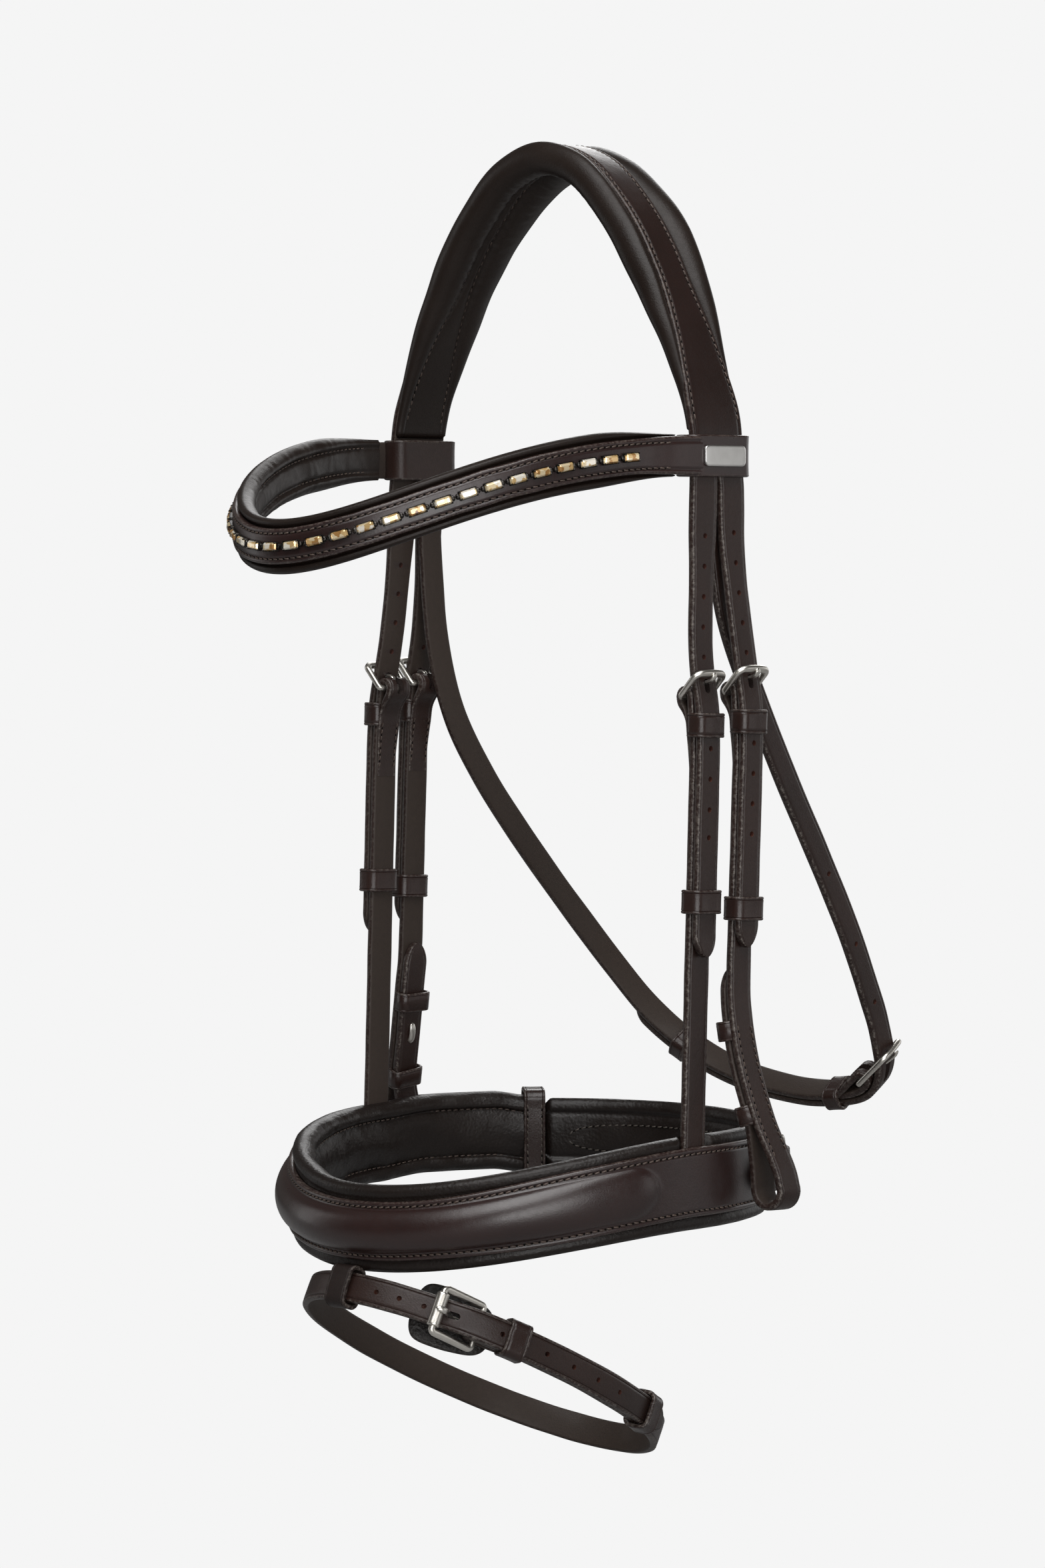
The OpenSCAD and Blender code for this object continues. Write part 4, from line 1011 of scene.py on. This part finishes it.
        # fixed keeper and runner
        m = Mesh()
        band(m, on(A(0, 0, kz)), xv, yv, zv, -1.6, 5.12, 6.25, 9.6, 1.3)
        put(near_far(m, side).obj("%s_%s_keeper_leather" % (side, kind), [M_KEEP]), body, ["%s_%s_keeper" % (side, kind)], "keeper_leather")
        m = Mesh()
        band(m, on(A(0, 0, rz)), xv, yv, zv, -1.85, 5.25, 6.35, 9.4, 1.6)
        put(near_far(m, side).obj("%s_%s_runner_leather" % (side, kind), [M_KEEP]), "%s_%s_runner" % (side, kind), ["%s_%s_runner" % (side, kind)], "keeper_leather")
    # keepers of the turned-up end
    m = Mesh()
    for i in (20, 29):
        p = OUT6[i]
        t = -unit(OUT6[i + 1] - OUT6[i - 1])
        w = unit(A(0, 1, 0) - t[1] * t)
        n = np.cross(w, t)
        U = resample(np.array([[-1.2, 4.4], [-1.75, 5.5], [-2.6, 6.25]] + [[-5.0 - 1.5 * sin(radians(g)), 5.2 + 1.5 * cos(radians(g))] for g in range(0, 91, 15)] + [[-6.5, 0]]), 0.7)
        U = np.r_[U, (U * A(1, -1))[::-1][1:]]
        tg = unit(np.gradient(U, axis=0))
        nr = np.stack([tg[:, 1], -tg[:, 0]], 1)
        if nr[len(nr) // 2, 0] > 0:
            nr = -nr
        Pk = on(p + U[:, :1] * n + U[:, 1:] * w)
        Nk = turned(CT)(nr[:, :1] * n + nr[:, 1:] * w)
        Wk = np.broadcast_to(turned(CT)(t), Pk.shape)
        h = 4.0
        half = [(-h, 0.3), (-h, 0.9), (-h + 0.3, 1.28), (-h + 0.8, 1.36), (-h + 1.0, 1.18), (-h + 1.2, 1.35), (0, 1.32)]
        pr = np.array(half + [(-a, b) for a, b in half[-2::-1]] + [(h - 0.2, 0.0), (-h + 0.2, 0.0)])
        e = np.r_[1, 1, 0.6, 0.2, 0, 0, 0, 0, 0, 0.2, 0.6, 1, 1, 0.3, 0.3]
        sweep(m, Pk, Wk, Nk, pr, edge=e)
    put(near_far(m, side).obj(side + "_bit_keeper_loops", [M_KEEP]), side + "_cheek", [side + "_bit_keepers"], "keeper_leather")
    # hook stud through the slit
    m = Mesh()
    sp = on(A(2.13, 1.9, -150.97))
    sn = unit(turned(CT)(A(1, 0, 0.28)))
    sz = unit(turned(CT)(A(-0.28, -0.12, 1)))
    rr = []
    for h, r in ((3.2, 1.2), (0.2, 1.2), (-1.2, 1.25), (-1.9, 1.5)):
        for a in np.arange(16) * 2 * pi / 16:
            rr.append(sp + sn * h + r * (cos(a) * sz + sin(a) * np.cross(sn, sz)))
    m.add(rr, grid_faces(4, 16) + [tuple(range(15, -1, -1)), tuple(range(48, 64))])
    q = np.linspace(0, 1, 15)
    Ph = sp + sz * (-1.8 + 9.2 * q)[:, None] - sn * (2.0 + 0.75 * np.sin(q * pi) - 0.5 * q)[:, None]
    Wh, Nh = frames(Ph, yv)
    wd = np.sqrt(np.maximum(1 - (2 * q - 1) ** 4, 0.02)) * 1.65
    sweep(m, Ph, Wh, Nh, oval(14, 2.3)[None] * np.stack([wd, wd * 0.45 + 0.05], 1)[:, None])
    put(near_far(m, side).obj(side + "_hook_stud_steel", [M_STEEL]), side + "_cheek", [side + "_hook_stud"], "steel")

# ---------------------------------------------------------------- throatlash
TR = [(82.8, 4, -132.3), (82.8, 5, -155), (82.5, 12, -185), (80.5, 31, -218), (78, 52, -250), (75, 75, -282), (71.5, 97, -313), (68, 114, -340), (66, 122.5, -355), (62.5, 128.5, -370), (52, 131, -381),
      (32, 130, -385), (9, 128.5, -384.5), (-20, 126, -379), (-42, 120, -368), (-58, 113, -354), (-70, 104, -336), (-77, 92, -318), (-80, 75, -298), (-80.5, 53, -274), (-81, 34, -251), (-82, 18, -225),
      (-82.8, 9, -195), (-82.8, 5, -160), (-82.8, 4, -132.3)]
TH = spl(TR, 20)
TI = np.arange(len(TH)) / 4.0
TW, TN = frames(TH, (0, 0.83, 0.55))
TT = unit(np.gradient(TH, axis=0))
ix = lambda i: int(round(i * 4))


def th(i, o=0.0):
    j = ix(i)
    return TH[j] + o * TN[j]


def soften(x, k):
    q = np.ones(k) / k
    return np.convolve(np.pad(x, k // 2, mode="edge"), q, "valid")[: len(x)]


off = soften(np.interp(TI, [0, 39, 43, 46, 49, 80], [0, 0, 0.4, 2.3, 3.5, 3.5]), 9)
sel = TI <= 76
G = (TH + TN * off[:, None])[sel]
G = np.r_[np.array([[82.8, 4, HEAD_TOP + 1], [82.8, 4, -118], [82.8, 4, -124], [82.8, 4, -129]]), G]
G = resample(G, 1.2, tip=9)
W, N = frames(G, (0, 0.83, 0.55))
near_i = lambda p: int(np.argmin(np.linalg.norm(G - p, axis=1)))
m = Mesh()
strap(m, G, W, N, np.minimum(5.8, tip_width(G, 5.8)))
o = m.obj("throat_billet_leather", [M_STRAP, M_RAW])
C = Mesh()
for i in (26, 31, 36):
    j = near_i(th(i))
    cyl(C, G[j], N[j], 1.1, 7)
tn, tw, ttn = TN[ix(46)], TW[ix(49)], TT[ix(46)]
slot_cut(C, 0.5 * (th(45, 1.6) + th(46, 2.3)), tn, ttn, tw, 6.0, 1.5, 12)
cut(o, C, [M_RAW, M_SLOT])
put(o, nodes=["throat_billet"], slot="strap_leather", blend=("headpiece", "throatlash", (82.8, 4, -124), (82.8, 4, -141)))
th_heel, th_bar = th(49, -3.0), th(43, 4.7)
hn, ht = TN[ix(49)], TT[ix(49)]
a = np.radians(np.arange(180, -1, -12))
arc = th_heel + 3.0 * (np.cos(a)[:, None] * hn - np.sin(a)[:, None] * ht)
ply = np.array([th_heel - 1.4 * hn + 20 * ht, th_heel - 2.4 * hn + 13 * ht, th_heel - 2.95 * hn + 7 * ht])
G = np.r_[ply, arc, TH[(TI >= 50)], np.array([[-82.8, 4, -129], [-82.8, 4, -124], [-82.8, 4, -118], [-82.8, 4, HEAD_TOP + 1]])]
G = resample(G, 1.2)
W, N = frames(G, (0, 0.83, 0.55))
d = length(G)
wf = sst(d, 26, 34)[:, None]
T = unit(np.gradient(G, axis=0))
Wf = unit(tw - (T @ tw)[:, None] * T)
W = unit(mix(Wf, W, wf))
N = np.cross(T, W)
m = Mesh()
strap(m, G, W, N, 5.8, t=0.5 + 1.0 * sst(d, 0, 12))
o = m.obj("throat_strap_leather", [M_STRAP, M_RAW])
C = Mesh()
slot_cut(C, th_heel - ht * 1.2, hn, ht, tw, 2.0, 1.9, 12)
cut(o, C, [M_RAW, M_SLOT])
put(o, nodes=["throat_strap"], slot="strap_leather", blend=("headpiece", "throatlash", (-82.8, 4, -124), (-82.8, 4, -141)))
m = Mesh()
buckle(m, th_heel, th_bar, tw, tn, 8.0, bow=0.8, lean=0.3)
put(m.obj("throat_buckle_frame", [M_STEEL]), "throatlash", ["throat_buckle"], "steel")
m = Mesh()
tongue(m, th_heel, th_bar, tw, tn, 1.5)
put(m.obj("throat_buckle_tongue", [M_STEEL]), "throat_tongue", ["throat_tongue"], "steel")
m = Mesh()
j = ix(54)
band(m, TH[j], TN[j], TW[j], TT[j], -1.85, 5.35, 6.1, 8, 1.4)
put(m.obj("throat_keeper_leather", [M_KEEP]), "throatlash", ["throat_keeper"], "keeper_leather")
m = Mesh()
j = ix(70)
band(m, TH[j], TN[j], TW[j], TT[j], -2.4, 5.9, 6.4, 7, 1.4)
put(m.obj("throat_runner_leather", [M_KEEP]), "throat_runner", ["throat_runner"], "keeper_leather")

# ---------------------------------------------------------------- noseband
def nz(f):
    return -405.5 - 18.5 * np.maximum(cd(f), 0) ** 1.8 + 2.0 * sst(-np.asarray(f, float), 88, 104) * (1 - sst(-np.asarray(f, float), 122, 132))


def nb_n(f):
    f = np.asarray(f, float)
    return unit(np.stack([101 * sd(f), -93.6 * cd(f), 0 * f], -1))


def nb_t(f):
    f = np.asarray(f, float)
    return unit(np.stack([93.6 * cd(f), 101 * sd(f), 0 * f], -1))


def nb(f, n=0.0, z=0.0):
    f = np.asarray(f, float)
    return np.stack([93.6 * sd(f), -17 - 101 * cd(f), nz(f) + z], -1) + np.asarray(n, float)[..., None] * nb_n(f)


UP = A(0, 0, 1)
fs = np.linspace(-135.6, 126, 331)
P = nb(fs)
N = nb_n(fs)
hh = mix(11.7, 13.9, sst(np.abs(fs), 18, 58))
arcmm = np.gradient(length(P), fs)
u0 = np.array([1.0, 1.0, 0.985, 0.96, 0.925, 0.875, 0.845, 0.805, 0.775, 0.745, 0.715, 0.68, 0.63, 0.56, 0.48, 0.39, 0.29, 0.18, 0.07])
u = np.r_[u0, -u0[::-1]]
base = np.array([0.3, 1.2, 1.95, 2.4, 2.6, 2.6, 2.25, 2.25, 2.6, 2.62, 2.62, 2.62, 2.62, 2.62, 2.62, 2.62, 2.62, 2.62, 2.62])
base = np.r_[base, base[::-1]]
F_END = 77.0
prof = []
for f, h, am in zip(fs, hh, arcmm):
    un = np.abs(u) / 0.725
    x = np.clip((F_END - abs(f)) * am / 12.5, -1, 1)
    rho = np.sqrt(un ** 2 + max(0.0, 1 - x) ** 2)
    g = np.where(rho < 1, np.maximum(1 - rho ** 2, 0) ** 0.6, 0)
    k = np.where(np.abs(u) < 0.73, 1, 0) * g
    outer = np.stack([u * h, base + 5.4 * k * mix(1, 0.5, sst(abs(f), 38, 72))], 1)
    prof.append(np.r_[outer, [[-h * 0.99, 0.0], [h * 0.99, 0.0]]])
prof = np.array(prof)
m = Mesh()
e = np.r_[1, 1, 0.8, 0.4, 0.1, np.zeros(14), np.zeros(14), 0.1, 0.4, 0.8, 1, 1, 0.5, 0.5]
sweep(m, P, np.broadcast_to(UP, P.shape), N, prof, edge=e, back=np.r_[np.zeros(38), 1, 1])
put(m.obj("noseband_outer_leather", [M_PANEL], sharp=60), "noseband", ["noseband_leather"], "panel_leather")
s = Mesh()
for q in (-1, 1):
    sel = (fs > -136) & (fs < 124.5)
    ln = (P + UP * (q * hh * 0.825)[:, None] + N * 2.38)[sel]
    stitches(s, ln, N[sel], 3.0, 2.45, 0.36, slant=0.2 * q)


def nose_ring(hk, d):
    half = [(-0.25, 8.0), (-0.3, hk - 4.6), (0.45, hk - 2.7), (0.55, hk - 0.6), (-0.9, hk + 1.0), (-3.2, hk + 1.5), (-5.8, hk + 0.6), (-0.93 * d, hk - 1.6), (-0.99 * d, hk - 4.0), (-0.93 * d, hk - 5.6), (-0.78 * d, hk - 6.7), (-0.86 * d, hk - 8.2), (-1.0 * d, hk - 11.5)]
    return half + [(-1.08 * d, 0)] + [(a, -b) for a, b in half[::-1]] + [(-0.3, 0)]


fp = np.linspace(-135.6, 126, 331)
R = np.array([ring_spl(nose_ring(16.6, 8.4), 4)] * len(fp))[..., ::-1]
endk = np.minimum(sst(fp, -136.0, -133.5), 1 - sst(fp, 122, 126.2))
R[..., 0] -= 1.5 * sst(-R[..., 0], 9, 15)
# slimmer edge rolls on the far side
far = sst(-fp, 50, 85)[:, None]
zr = R[..., 0].copy()
R[..., 0] = np.where(zr > 9.9, 9.9 + (zr - 9.9) * mix(1, 0.86, far), np.where(zr < -9.9, -9.9 + (zr + 9.9) * mix(1, 0.68, far), zr))
R[..., 0] *= mix(0.8, 1, endk)[:, None]
mid = -3.5
R[..., 1] = mid + (R[..., 1] - mid) * mix(0.55, 1, endk)[:, None]
lift = 3 * np.maximum(cd(fp), 0) ** 1.5
sink = lift * sst(fp, -48, -4)
R[..., 0] -= sink[:, None] * sst(R[..., 0], -6, 9)
Pp = nb(fp, 0, lift)
Np = nb_n(fp)
pocket = np.zeros(len(fp))
pocket = sst(Pp[:, 1], -29.5, -26.3) * (1 - sst(Pp[:, 1], -12.6, -9.4)) * (np.abs(fp) < 110)
lim = mix(6.0, -4.05, pocket)[:, None]
zl = R[..., 0]
lim = np.where(zl > -10, lim, 6.0)
R[..., 1] = np.minimum(R[..., 1], lim)
m = Mesh()
sweep(m, Pp, np.broadcast_to(UP, Pp.shape), Np, R)
v = m.V[0]
run = m.at["run"][0]
nn = R[..., 1].reshape(-1)
inner = np.clip((-nn - 3) / 4, 0, 1)
curl = np.repeat(np.clip((np.cos(np.radians(fp + 62)) - 0.75) * 4, 0, 1) + np.clip((np.cos(np.radians(fp - 20)) - 0.8) * 3, 0, 1) * 0.6, R.shape[1])
wr = np.sin(run / 0.95 + 2.6 * wob(v, 0.07, 31)) * 0.6 + 0.4 * np.sin(run / 1.55 + 3.0 * wob(v, 0.05, 33))
disp = 0.34 * wob(v, 0.045, 37) * (0.35 + inner) + 0.22 * wr * inner * curl + 0.16 * wr * (1 - inner) * np.clip(nn + 6, 0, 1) * 0.25
m.V[0] = v + np.repeat(Np, R.shape[1], 0) * disp[:, None]
put(m.obj("noseband_lining", [M_LINE], sharp=75), "noseband", ["noseband_padding"], "lining", pad=0.75)
for q in (-1, 1):
    sel = (fp > -133) & (fp < 121)
    ln = nb(fp, -0.78 * 8.4 - 0.05, q * (16.6 - 6.7) + lift - (sink if q > 0 else 0))[sel]
    stitches(s, ln, -Np[sel], 2.9, 2.2, 0.3, slant=0.08)
put(s.obj("noseband_stitching", [M_THREAD, M_HOLE_SHADE]), "noseband", slot="panel_leather")
m = Mesh()
band(m, nb(-133), nb_n(-133), UP, nb_t(-133), -8.9, 6.4, 18.2, 9, 1.5, r=2.6)
put(m.obj("noseband_loop_leather", [M_KEEP]), "noseband", ["noseband_loop"], "keeper_leather")
s = Mesh()
for q in (-1, 1):
    zz = np.linspace(-15, 15, 30)
    ln = nb(-133) - nb_n(-133) * 10.42 + UP * zz[:, None] + nb_t(-133) * q * 3.0
    stitches(s, ln, -nb_n(-133), 2.8, 2.1, 0.28)

# chin pad, strap, buckle
fc = np.linspace(140.5, 224.0, 131)
half = [(-0.2, 7.0), (-0.6, 10.8), (-1.6, 12.9), (-3.4, 13.9), (-5.2, 13.1), (-6.3, 11.4), (-6.4, 9.8), (-5.5, 8.4), (-6.2, 6.6), (-6.7, 3.5)]
ring = half + [(-6.8, 0)] + [(a, -b) for a, b in half[::-1]] + [(-0.25, 0)]
R = np.array([ring_spl(ring, 4)] * len(fc))[..., ::-1]
ek = np.minimum(sst(fc, 140, 144), 1 - sst(fc, 222.2, 224.8))
R[..., 0] *= 1.12 * mix(0.8, 1, ek)[:, None]
R[..., 1] = -3.2 + (R[..., 1] + 3.2) * mix(0.5, 1, ek)[:, None]
Pc = nb(fc, 0, 0.2)
Nc = nb_n(fc)
m = Mesh()
sweep(m, Pc, np.broadcast_to(UP, Pc.shape), Nc, R)
v = m.V[0]
m.V[0] = v + np.repeat(Nc, R.shape[1], 0) * (0.25 * wob(v, 0.05, 41) * np.clip(-R[..., 1].reshape(-1) / 6, 0, 1))[:, None]
put(m.obj("chin_pad_lining", [M_LINE], sharp=75), "noseband", ["chin_pad"], "lining", pad=0.7)
q = np.linspace(0, 2 * pi, 260)
sx_ = np.sign(np.cos(q)) * np.abs(np.cos(q)) ** 0.45
sy_ = np.sign(np.sin(q)) * np.abs(np.sin(q)) ** 0.8
ln = nb(181.5 + 36 * sx_, -6.62 - 0.35 * (1 - np.abs(sy_)), -1 + 6.1 * sy_)
stitches(s, ln, -nb_n(181.5 + 36 * sx_), 2.9, 2.2, 0.3)
put(s.obj("chin_stitching", [M_THREAD_L, M_HOLE_SHADE]), "noseband", slot="lining")
ff = np.arange(239, 109.8, -0.5)
co_ = soften(np.interp(ff[::-1], [111, 131.5, 136, 141, 145, 210, 222, 240], [7.2, 7.2, 4.3, 1.8, 1.65, 1.65, 4.5, 4.5]), 9)[::-1]
G = resample(nb(ff, co_, -1.0), 1.1, tip=10)
W, N = frames(G, UP, 1)
if np.dot(N[len(N) // 2], nb_n(175)) < 0:
    N = -N
m = Mesh()
strap(m, G, W, N, np.minimum(7.5, tip_width(G, 7.5)))
o = m.obj("chin_strap_leather", [M_STRAP, M_RAW])
C = Mesh()
slot_cut(C, nb(134.6, 5.2, -1.0), nb_n(134.6), nb_t(134.6), UP, 3.4, 1.45, 12)
for f in (118, 125.5, 150, 158):
    g = nb(f, float(np.interp(f, ff[::-1], co_[::-1])), -1.0)
    cyl(C, g, nb_n(f), 1.1, 7)
cut(o, C, [M_RAW, M_SLOT])
put(o, "noseband", ["chin_strap"], "strap_leather")
c_heel, c_bar = nb(131.5, 1.3, -1.0), nb(140, 5.5, -1.0)
a = np.radians(np.arange(0, 181, 12))
cn, ct = nb_n(131.5), nb_t(131.5)
G = np.r_[nb(np.arange(113, 129.1, 1.0), 4.05, -1.0), c_heel + 2.75 * (np.cos(a)[:, None] * cn + np.sin(a)[:, None] * ct), [c_heel - 2.75 * cn - 3 * ct]]
G = resample(G, 1.0)
W, N = frames(G, UP)
if np.dot(N[2], nb_n(115)) < 0:
    N = -N
m = Mesh()
strap(m, G, W, N, 7.0, t=1.25)
o = m.obj("chin_chape_leather", [M_STRAP, M_RAW])
C = Mesh()
slot_cut(C, c_heel + ct * 1.2, cn, ct, UP, 1.6, 1.9, 12)
cut(o, C, [M_RAW, M_SLOT])
put(o, "noseband", ["chin_chape"], "strap_leather")
m = Mesh()
buckle(m, c_heel, c_bar, UP, nb_n(136), 9.6, bow=0.9, lean=0.3)
put(m.obj("chin_buckle_frame", [M_STEEL]), "noseband", ["chin_buckle"], "steel")
m = Mesh()
tongue(m, c_heel, c_bar, UP, nb_n(136), 1.5)
put(m.obj("chin_buckle_tongue", [M_STEEL]), "chin_tongue", ["chin_tongue"], "steel")

# ---------------------------------------------------------------- flash strap
FT, FA, FB, FY, FZ = 27.0, 62.0, 87.5, -122.4, -446.4


def fl_n(f):
    f = np.asarray(f, float)
    return unit(np.stack([FB * sd(f), -FA * cd(f) * cd(FT), FA * cd(f) * sd(FT)], -1))


def fl_t(f):
    f = np.asarray(f, float)
    return unit(np.stack([FA * cd(f), FB * sd(f) * cd(FT), -FB * sd(f) * sd(FT)], -1))


FW = A(0, sd(FT), cd(FT))


def fl(f, o=0.0):
    f = np.asarray(f, float)
    return np.stack([FA * sd(f), FY + FB * (1 - cd(f)) * cd(FT), FZ - FB * (1 - cd(f)) * sd(FT)], -1) + np.asarray(o, float)[..., None] * fl_n(f)


f_heel, f_bar = fl(50, -3.0), fl(36.5, 4.9)
a = np.radians(np.arange(180, -1, -12))
hn, ht = fl_n(50), fl_t(50)
arc = f_heel + 3.0 * (np.cos(a)[:, None] * hn - np.sin(a)[:, None] * ht)
fr = np.arange(53, 485.1, 0.5)
fo = soften(np.interp(fr, [360, 384, 396.5, 400, 403, 410, 490], [0, 0, 0.2, 1.4, 2.8, 3.6, 3.45]), 13)
G = np.r_[[f_heel - 1.6 * hn + 19 * ht, f_heel - 2.5 * hn + 13 * ht, f_heel - 2.95 * hn + 7 * ht], arc, fl(fr, fo)]
G = resample(G, 1.15, tip=9)
W, N = frames(G, FW)
i = int(np.argmin(np.linalg.norm(G - fl(180), axis=1)))
if np.dot(N[i], fl_n(180)) < 0:
    N = -N
d = length(G)
m = Mesh()
strap(m, G, W, N, np.minimum(6.0, tip_width(G, 6.0)), t=0.5 + 1.0 * sst(d, 0, 12))
o = m.obj("flash_strap_leather", [M_STRAP, M_RAW])
C = Mesh()
slot_cut(C, f_heel - ht * 1.2, hn, ht, FW, 2.0, 1.9, 11)
slot_cut(C, fl(41.05, 1.9), fl_n(42.0), fl_t(42.0), FW, 1.65, 1.38, 6.4)
for f in (15, 23.5, 32, 56.0, 70, 79, 88, 97):
    g = fl(f, float(np.interp(f + 360, fr, fo)))
    if f < 33:
        g = g + fl_n(f) * 1.6
    cyl(C, g, fl_n(f), 1.05, 4.2)
cut(o, C, [M_RAW, M_SLOT])
put(o, "flash", ["flash_strap"], "strap_leather")
m = Mesh()
buckle(m, f_heel, f_bar, FW, fl_n(43), 9.0, bow=0.0, lean=0.0, bar=(1.35, 1.35), arm=(1.55, 1.15), corner=1.6)
put(m.obj("flash_buckle_frame", [M_STEEL]), "flash", ["flash_buckle"], "steel")
m = Mesh()
y = np.r_[-6.9, -6.9, -6.75, -6.5, np.linspace(-6, 6, 9), 6.5, 6.75, 6.9, 6.9]
r = np.r_[1.55, 2.2, 2.45, 2.58, np.full(9, 2.6), 2.58, 2.45, 2.2, 1.55]
u, v = fl_n(36.5), fl_t(36.5)
aa = np.arange(40) * 2 * pi / 40
V = f_bar + y[:, None, None] * FW + r[:, None, None] * (np.cos(aa)[None, :, None] * u + np.sin(aa)[None, :, None] * v)
F = grid_faces(len(y), 40)
k = len(y)
F += [((k - 1) * 40 + j, (k - 1) * 40 + (j + 1) % 40, (j + 1) % 40, j) for j in range(40)]
m.add(V, F)
put(m.obj("flash_roller_tube", [M_STEEL], sharp=60), "flash_roller", ["flash_roller"], "steel")
m = Mesh()
tongue(m, f_heel, f_bar, FW, fl_n(43), 2.6, knee=[(1.6, 0.0), (5, 0.05), (8.5, 0.08), (10.4, 0.35), (11.5, 1.5), (12.2, 3.3), (12.95, 5.2), (13.6, 7.0), (14.35, 8.9), (15.4, 10.5), (16.85, 11.35), (18.4, 11.42), (19.4, 11.0)])
put(m.obj("flash_buckle_tongue", [M_STEEL]), "flash_tongue", ["flash_tongue"], "steel")
# safe behind the buckle
ff = np.linspace(27.0, 56.5, 60)
G = fl(ff, -8.9)
W = np.broadcast_to(FW, G.shape)
N = fl_n(ff)
x = (ff - 41.75) / 14.75
H = 12.2 * np.maximum(1 - np.abs(x) ** 6, 0.02) ** 0.42
H = H * mix(1.0, 0.84, sst(x, 0.0, 1.0))
q = np.array([(-1, 0.0, -0.5, 1), (-1, 0.1, 0.5, 1), (-1, 0.5, 0.95, 0.6), (-1, 1.3, 1.02, 0.1), (-1, 4, 1.0, 0), (0, 0, 1.0, 0), (1, 4, 1.0, 0), (1, 1.3, 1.02, 0.1), (1, 0.5, 0.95, 0.6), (1, 0.1, 0.5, 1), (1, 0.0, -0.5, 1), (1, 0.5, -1, 0.5), (-1, 0.5, -1, 0.5)])
q[:, 2] *= 1.5
m = Mesh()
strap(m, G, W, N, H, t=1.0, prof=q)
v = m.V[0]
m.V[0] = v + np.repeat(N, len(q), 0) * (0.22 * wob(v, 0.09, 51))[:, None]
put(m.obj("flash_safe_leather", [M_SAFE], sharp=60), "flash", ["flash_safe"], "strap_leather")
m = Mesh()
band(m, fl(60.5), fl_n(60.5), FW, fl_t(60.5), -1.8, 5.3, 6.2, 9.5, 1.4)
put(m.obj("flash_keeper_leather", [M_KEEP]), "flash", ["flash_keeper"], "keeper_leather")
m = Mesh()
band(m, fl(114), fl_n(114), FW, fl_t(114), -2.4, 5.85, 6.5, 9, 1.5, r=2.2)
put(m.obj("flash_runner_leather", [M_KEEP]), "flash_runner", ["flash_runner"], "keeper_leather")
m = Mesh()
w, n = A(0, sd(22), cd(22)), A(0, -cd(22), sd(22))
band(m, A(0, FY, FZ), n, w, A(1, 0, 0), -3.1, 3.1, 7.0, 11, 1.5, r=1.9)
put(m.obj("flash_tab_leather", [M_TAB]), "noseband", ["flash_tab"], "keeper_leather")

# ---------------------------------------------------------------- camera, light, floor
sc = bpy.context.scene
cam = bpy.data.cameras.new("camera")
co = bpy.data.objects.new("camera", cam)
sc.collection.objects.link(co)
cam.sensor_width = 36
cam.sensor_fit = "AUTO"
cam.lens = 7690 / 2352 * 36
cam.clip_end = 100
co.location = (1.47709 - 0.0002, -1.49966 - 0.0002, -0.152)
co.rotation_euler = (radians(90 - 2.7026), 0, radians(45))
sc.camera = co

sc.view_settings.view_transform = "Standard"
sc.view_settings.look = "None"


wd = bpy.data.worlds.new("studio")
sc.world = wd
wd.use_nodes = True
nt = wd.node_tree
nt.nodes.clear()
out = node(nt, "ShaderNodeOutputWorld")
b1 = node(nt, "ShaderNodeBackground")
b1.inputs[0].default_value = (0.913, 0.913, 0.913, 1)
b2 = node(nt, "ShaderNodeBackground")
b2.inputs[0].default_value = (0.088, 0.084, 0.080, 1)
mx = node(nt, "ShaderNodeMixShader")
lp = node(nt, "ShaderNodeLightPath")
nt.links.new(lp.outputs["Is Camera Ray"], mx.inputs[0])
nt.links.new(b2.outputs[0], mx.inputs[1])
nt.links.new(b1.outputs[0], mx.inputs[2])
nt.links.new(mx.outputs[0], out.inputs[0])

fm = bpy.data.materials.new("floor")
fm.use_nodes = True
nt = fm.node_tree
nt.nodes.clear()
out = node(nt, "ShaderNodeOutputMaterial")
e1 = node(nt, "ShaderNodeEmission")
e1.inputs[0].default_value = (0.913, 0.913, 0.913, 1)
e2 = node(nt, "ShaderNodeBsdfDiffuse")
e2.inputs[0].default_value = (0.3, 0.3, 0.3, 1)
mx = node(nt, "ShaderNodeMixShader")
lp = node(nt, "ShaderNodeLightPath")
nt.links.new(lp.outputs["Is Camera Ray"], mx.inputs[0])
nt.links.new(e2.outputs[0], mx.inputs[1])
nt.links.new(e1.outputs[0], mx.inputs[2])
nt.links.new(mx.outputs[0], out.inputs[0])
me = bpy.data.meshes.new("floor")
Z = -0.60
me.from_pydata([(-30, -30, Z), (30, -30, Z), (30, 30, Z), (-30, 30, Z)], [], [(0, 1, 2, 3)])
me.materials.append(fm)
fl_o = bpy.data.objects.new("floor", me)
sc.collection.objects.link(fl_o)


def area(name, loc, target, size, power, sy=None):
    l = bpy.data.lights.new(name, "AREA")
    l.energy = power
    l.size = size
    if sy:
        l.shape = "RECTANGLE"
        l.size_y = sy
    o = bpy.data.objects.new(name, l)
    sc.collection.objects.link(o)
    o.location = loc
    d = unit(A(*target) - A(*loc))
    from mathutils import Vector
    o.rotation_euler = Vector(d).to_track_quat("-Z", "Y").to_euler()
    return o


area("key", (1.95, -1.35, -0.45), (0, -0.02, -0.32), 1.9, 41, 1.6)
area("top", (0.7, -0.9, 1.5), (0, -0.05, -0.30), 2.0, 56, 2.0)
area("left", (-2.1, -0.8, 0.1), (0, 0, -0.25), 0.6, 3.5, 1.6)
area("right", (1.75, 1.1, -0.25), (0, 0, -0.25), 1.1, 3, 1.1)
area("back", (-1.3, 1.7, 1.0), (0, 0, -0.15), 1.2, 16, 1.2)
area("rear", (0.3, 2.3, 0.0), (0, 0, -0.25), 2.0, 8, 1.4)

bpy.context.view_layer.update()
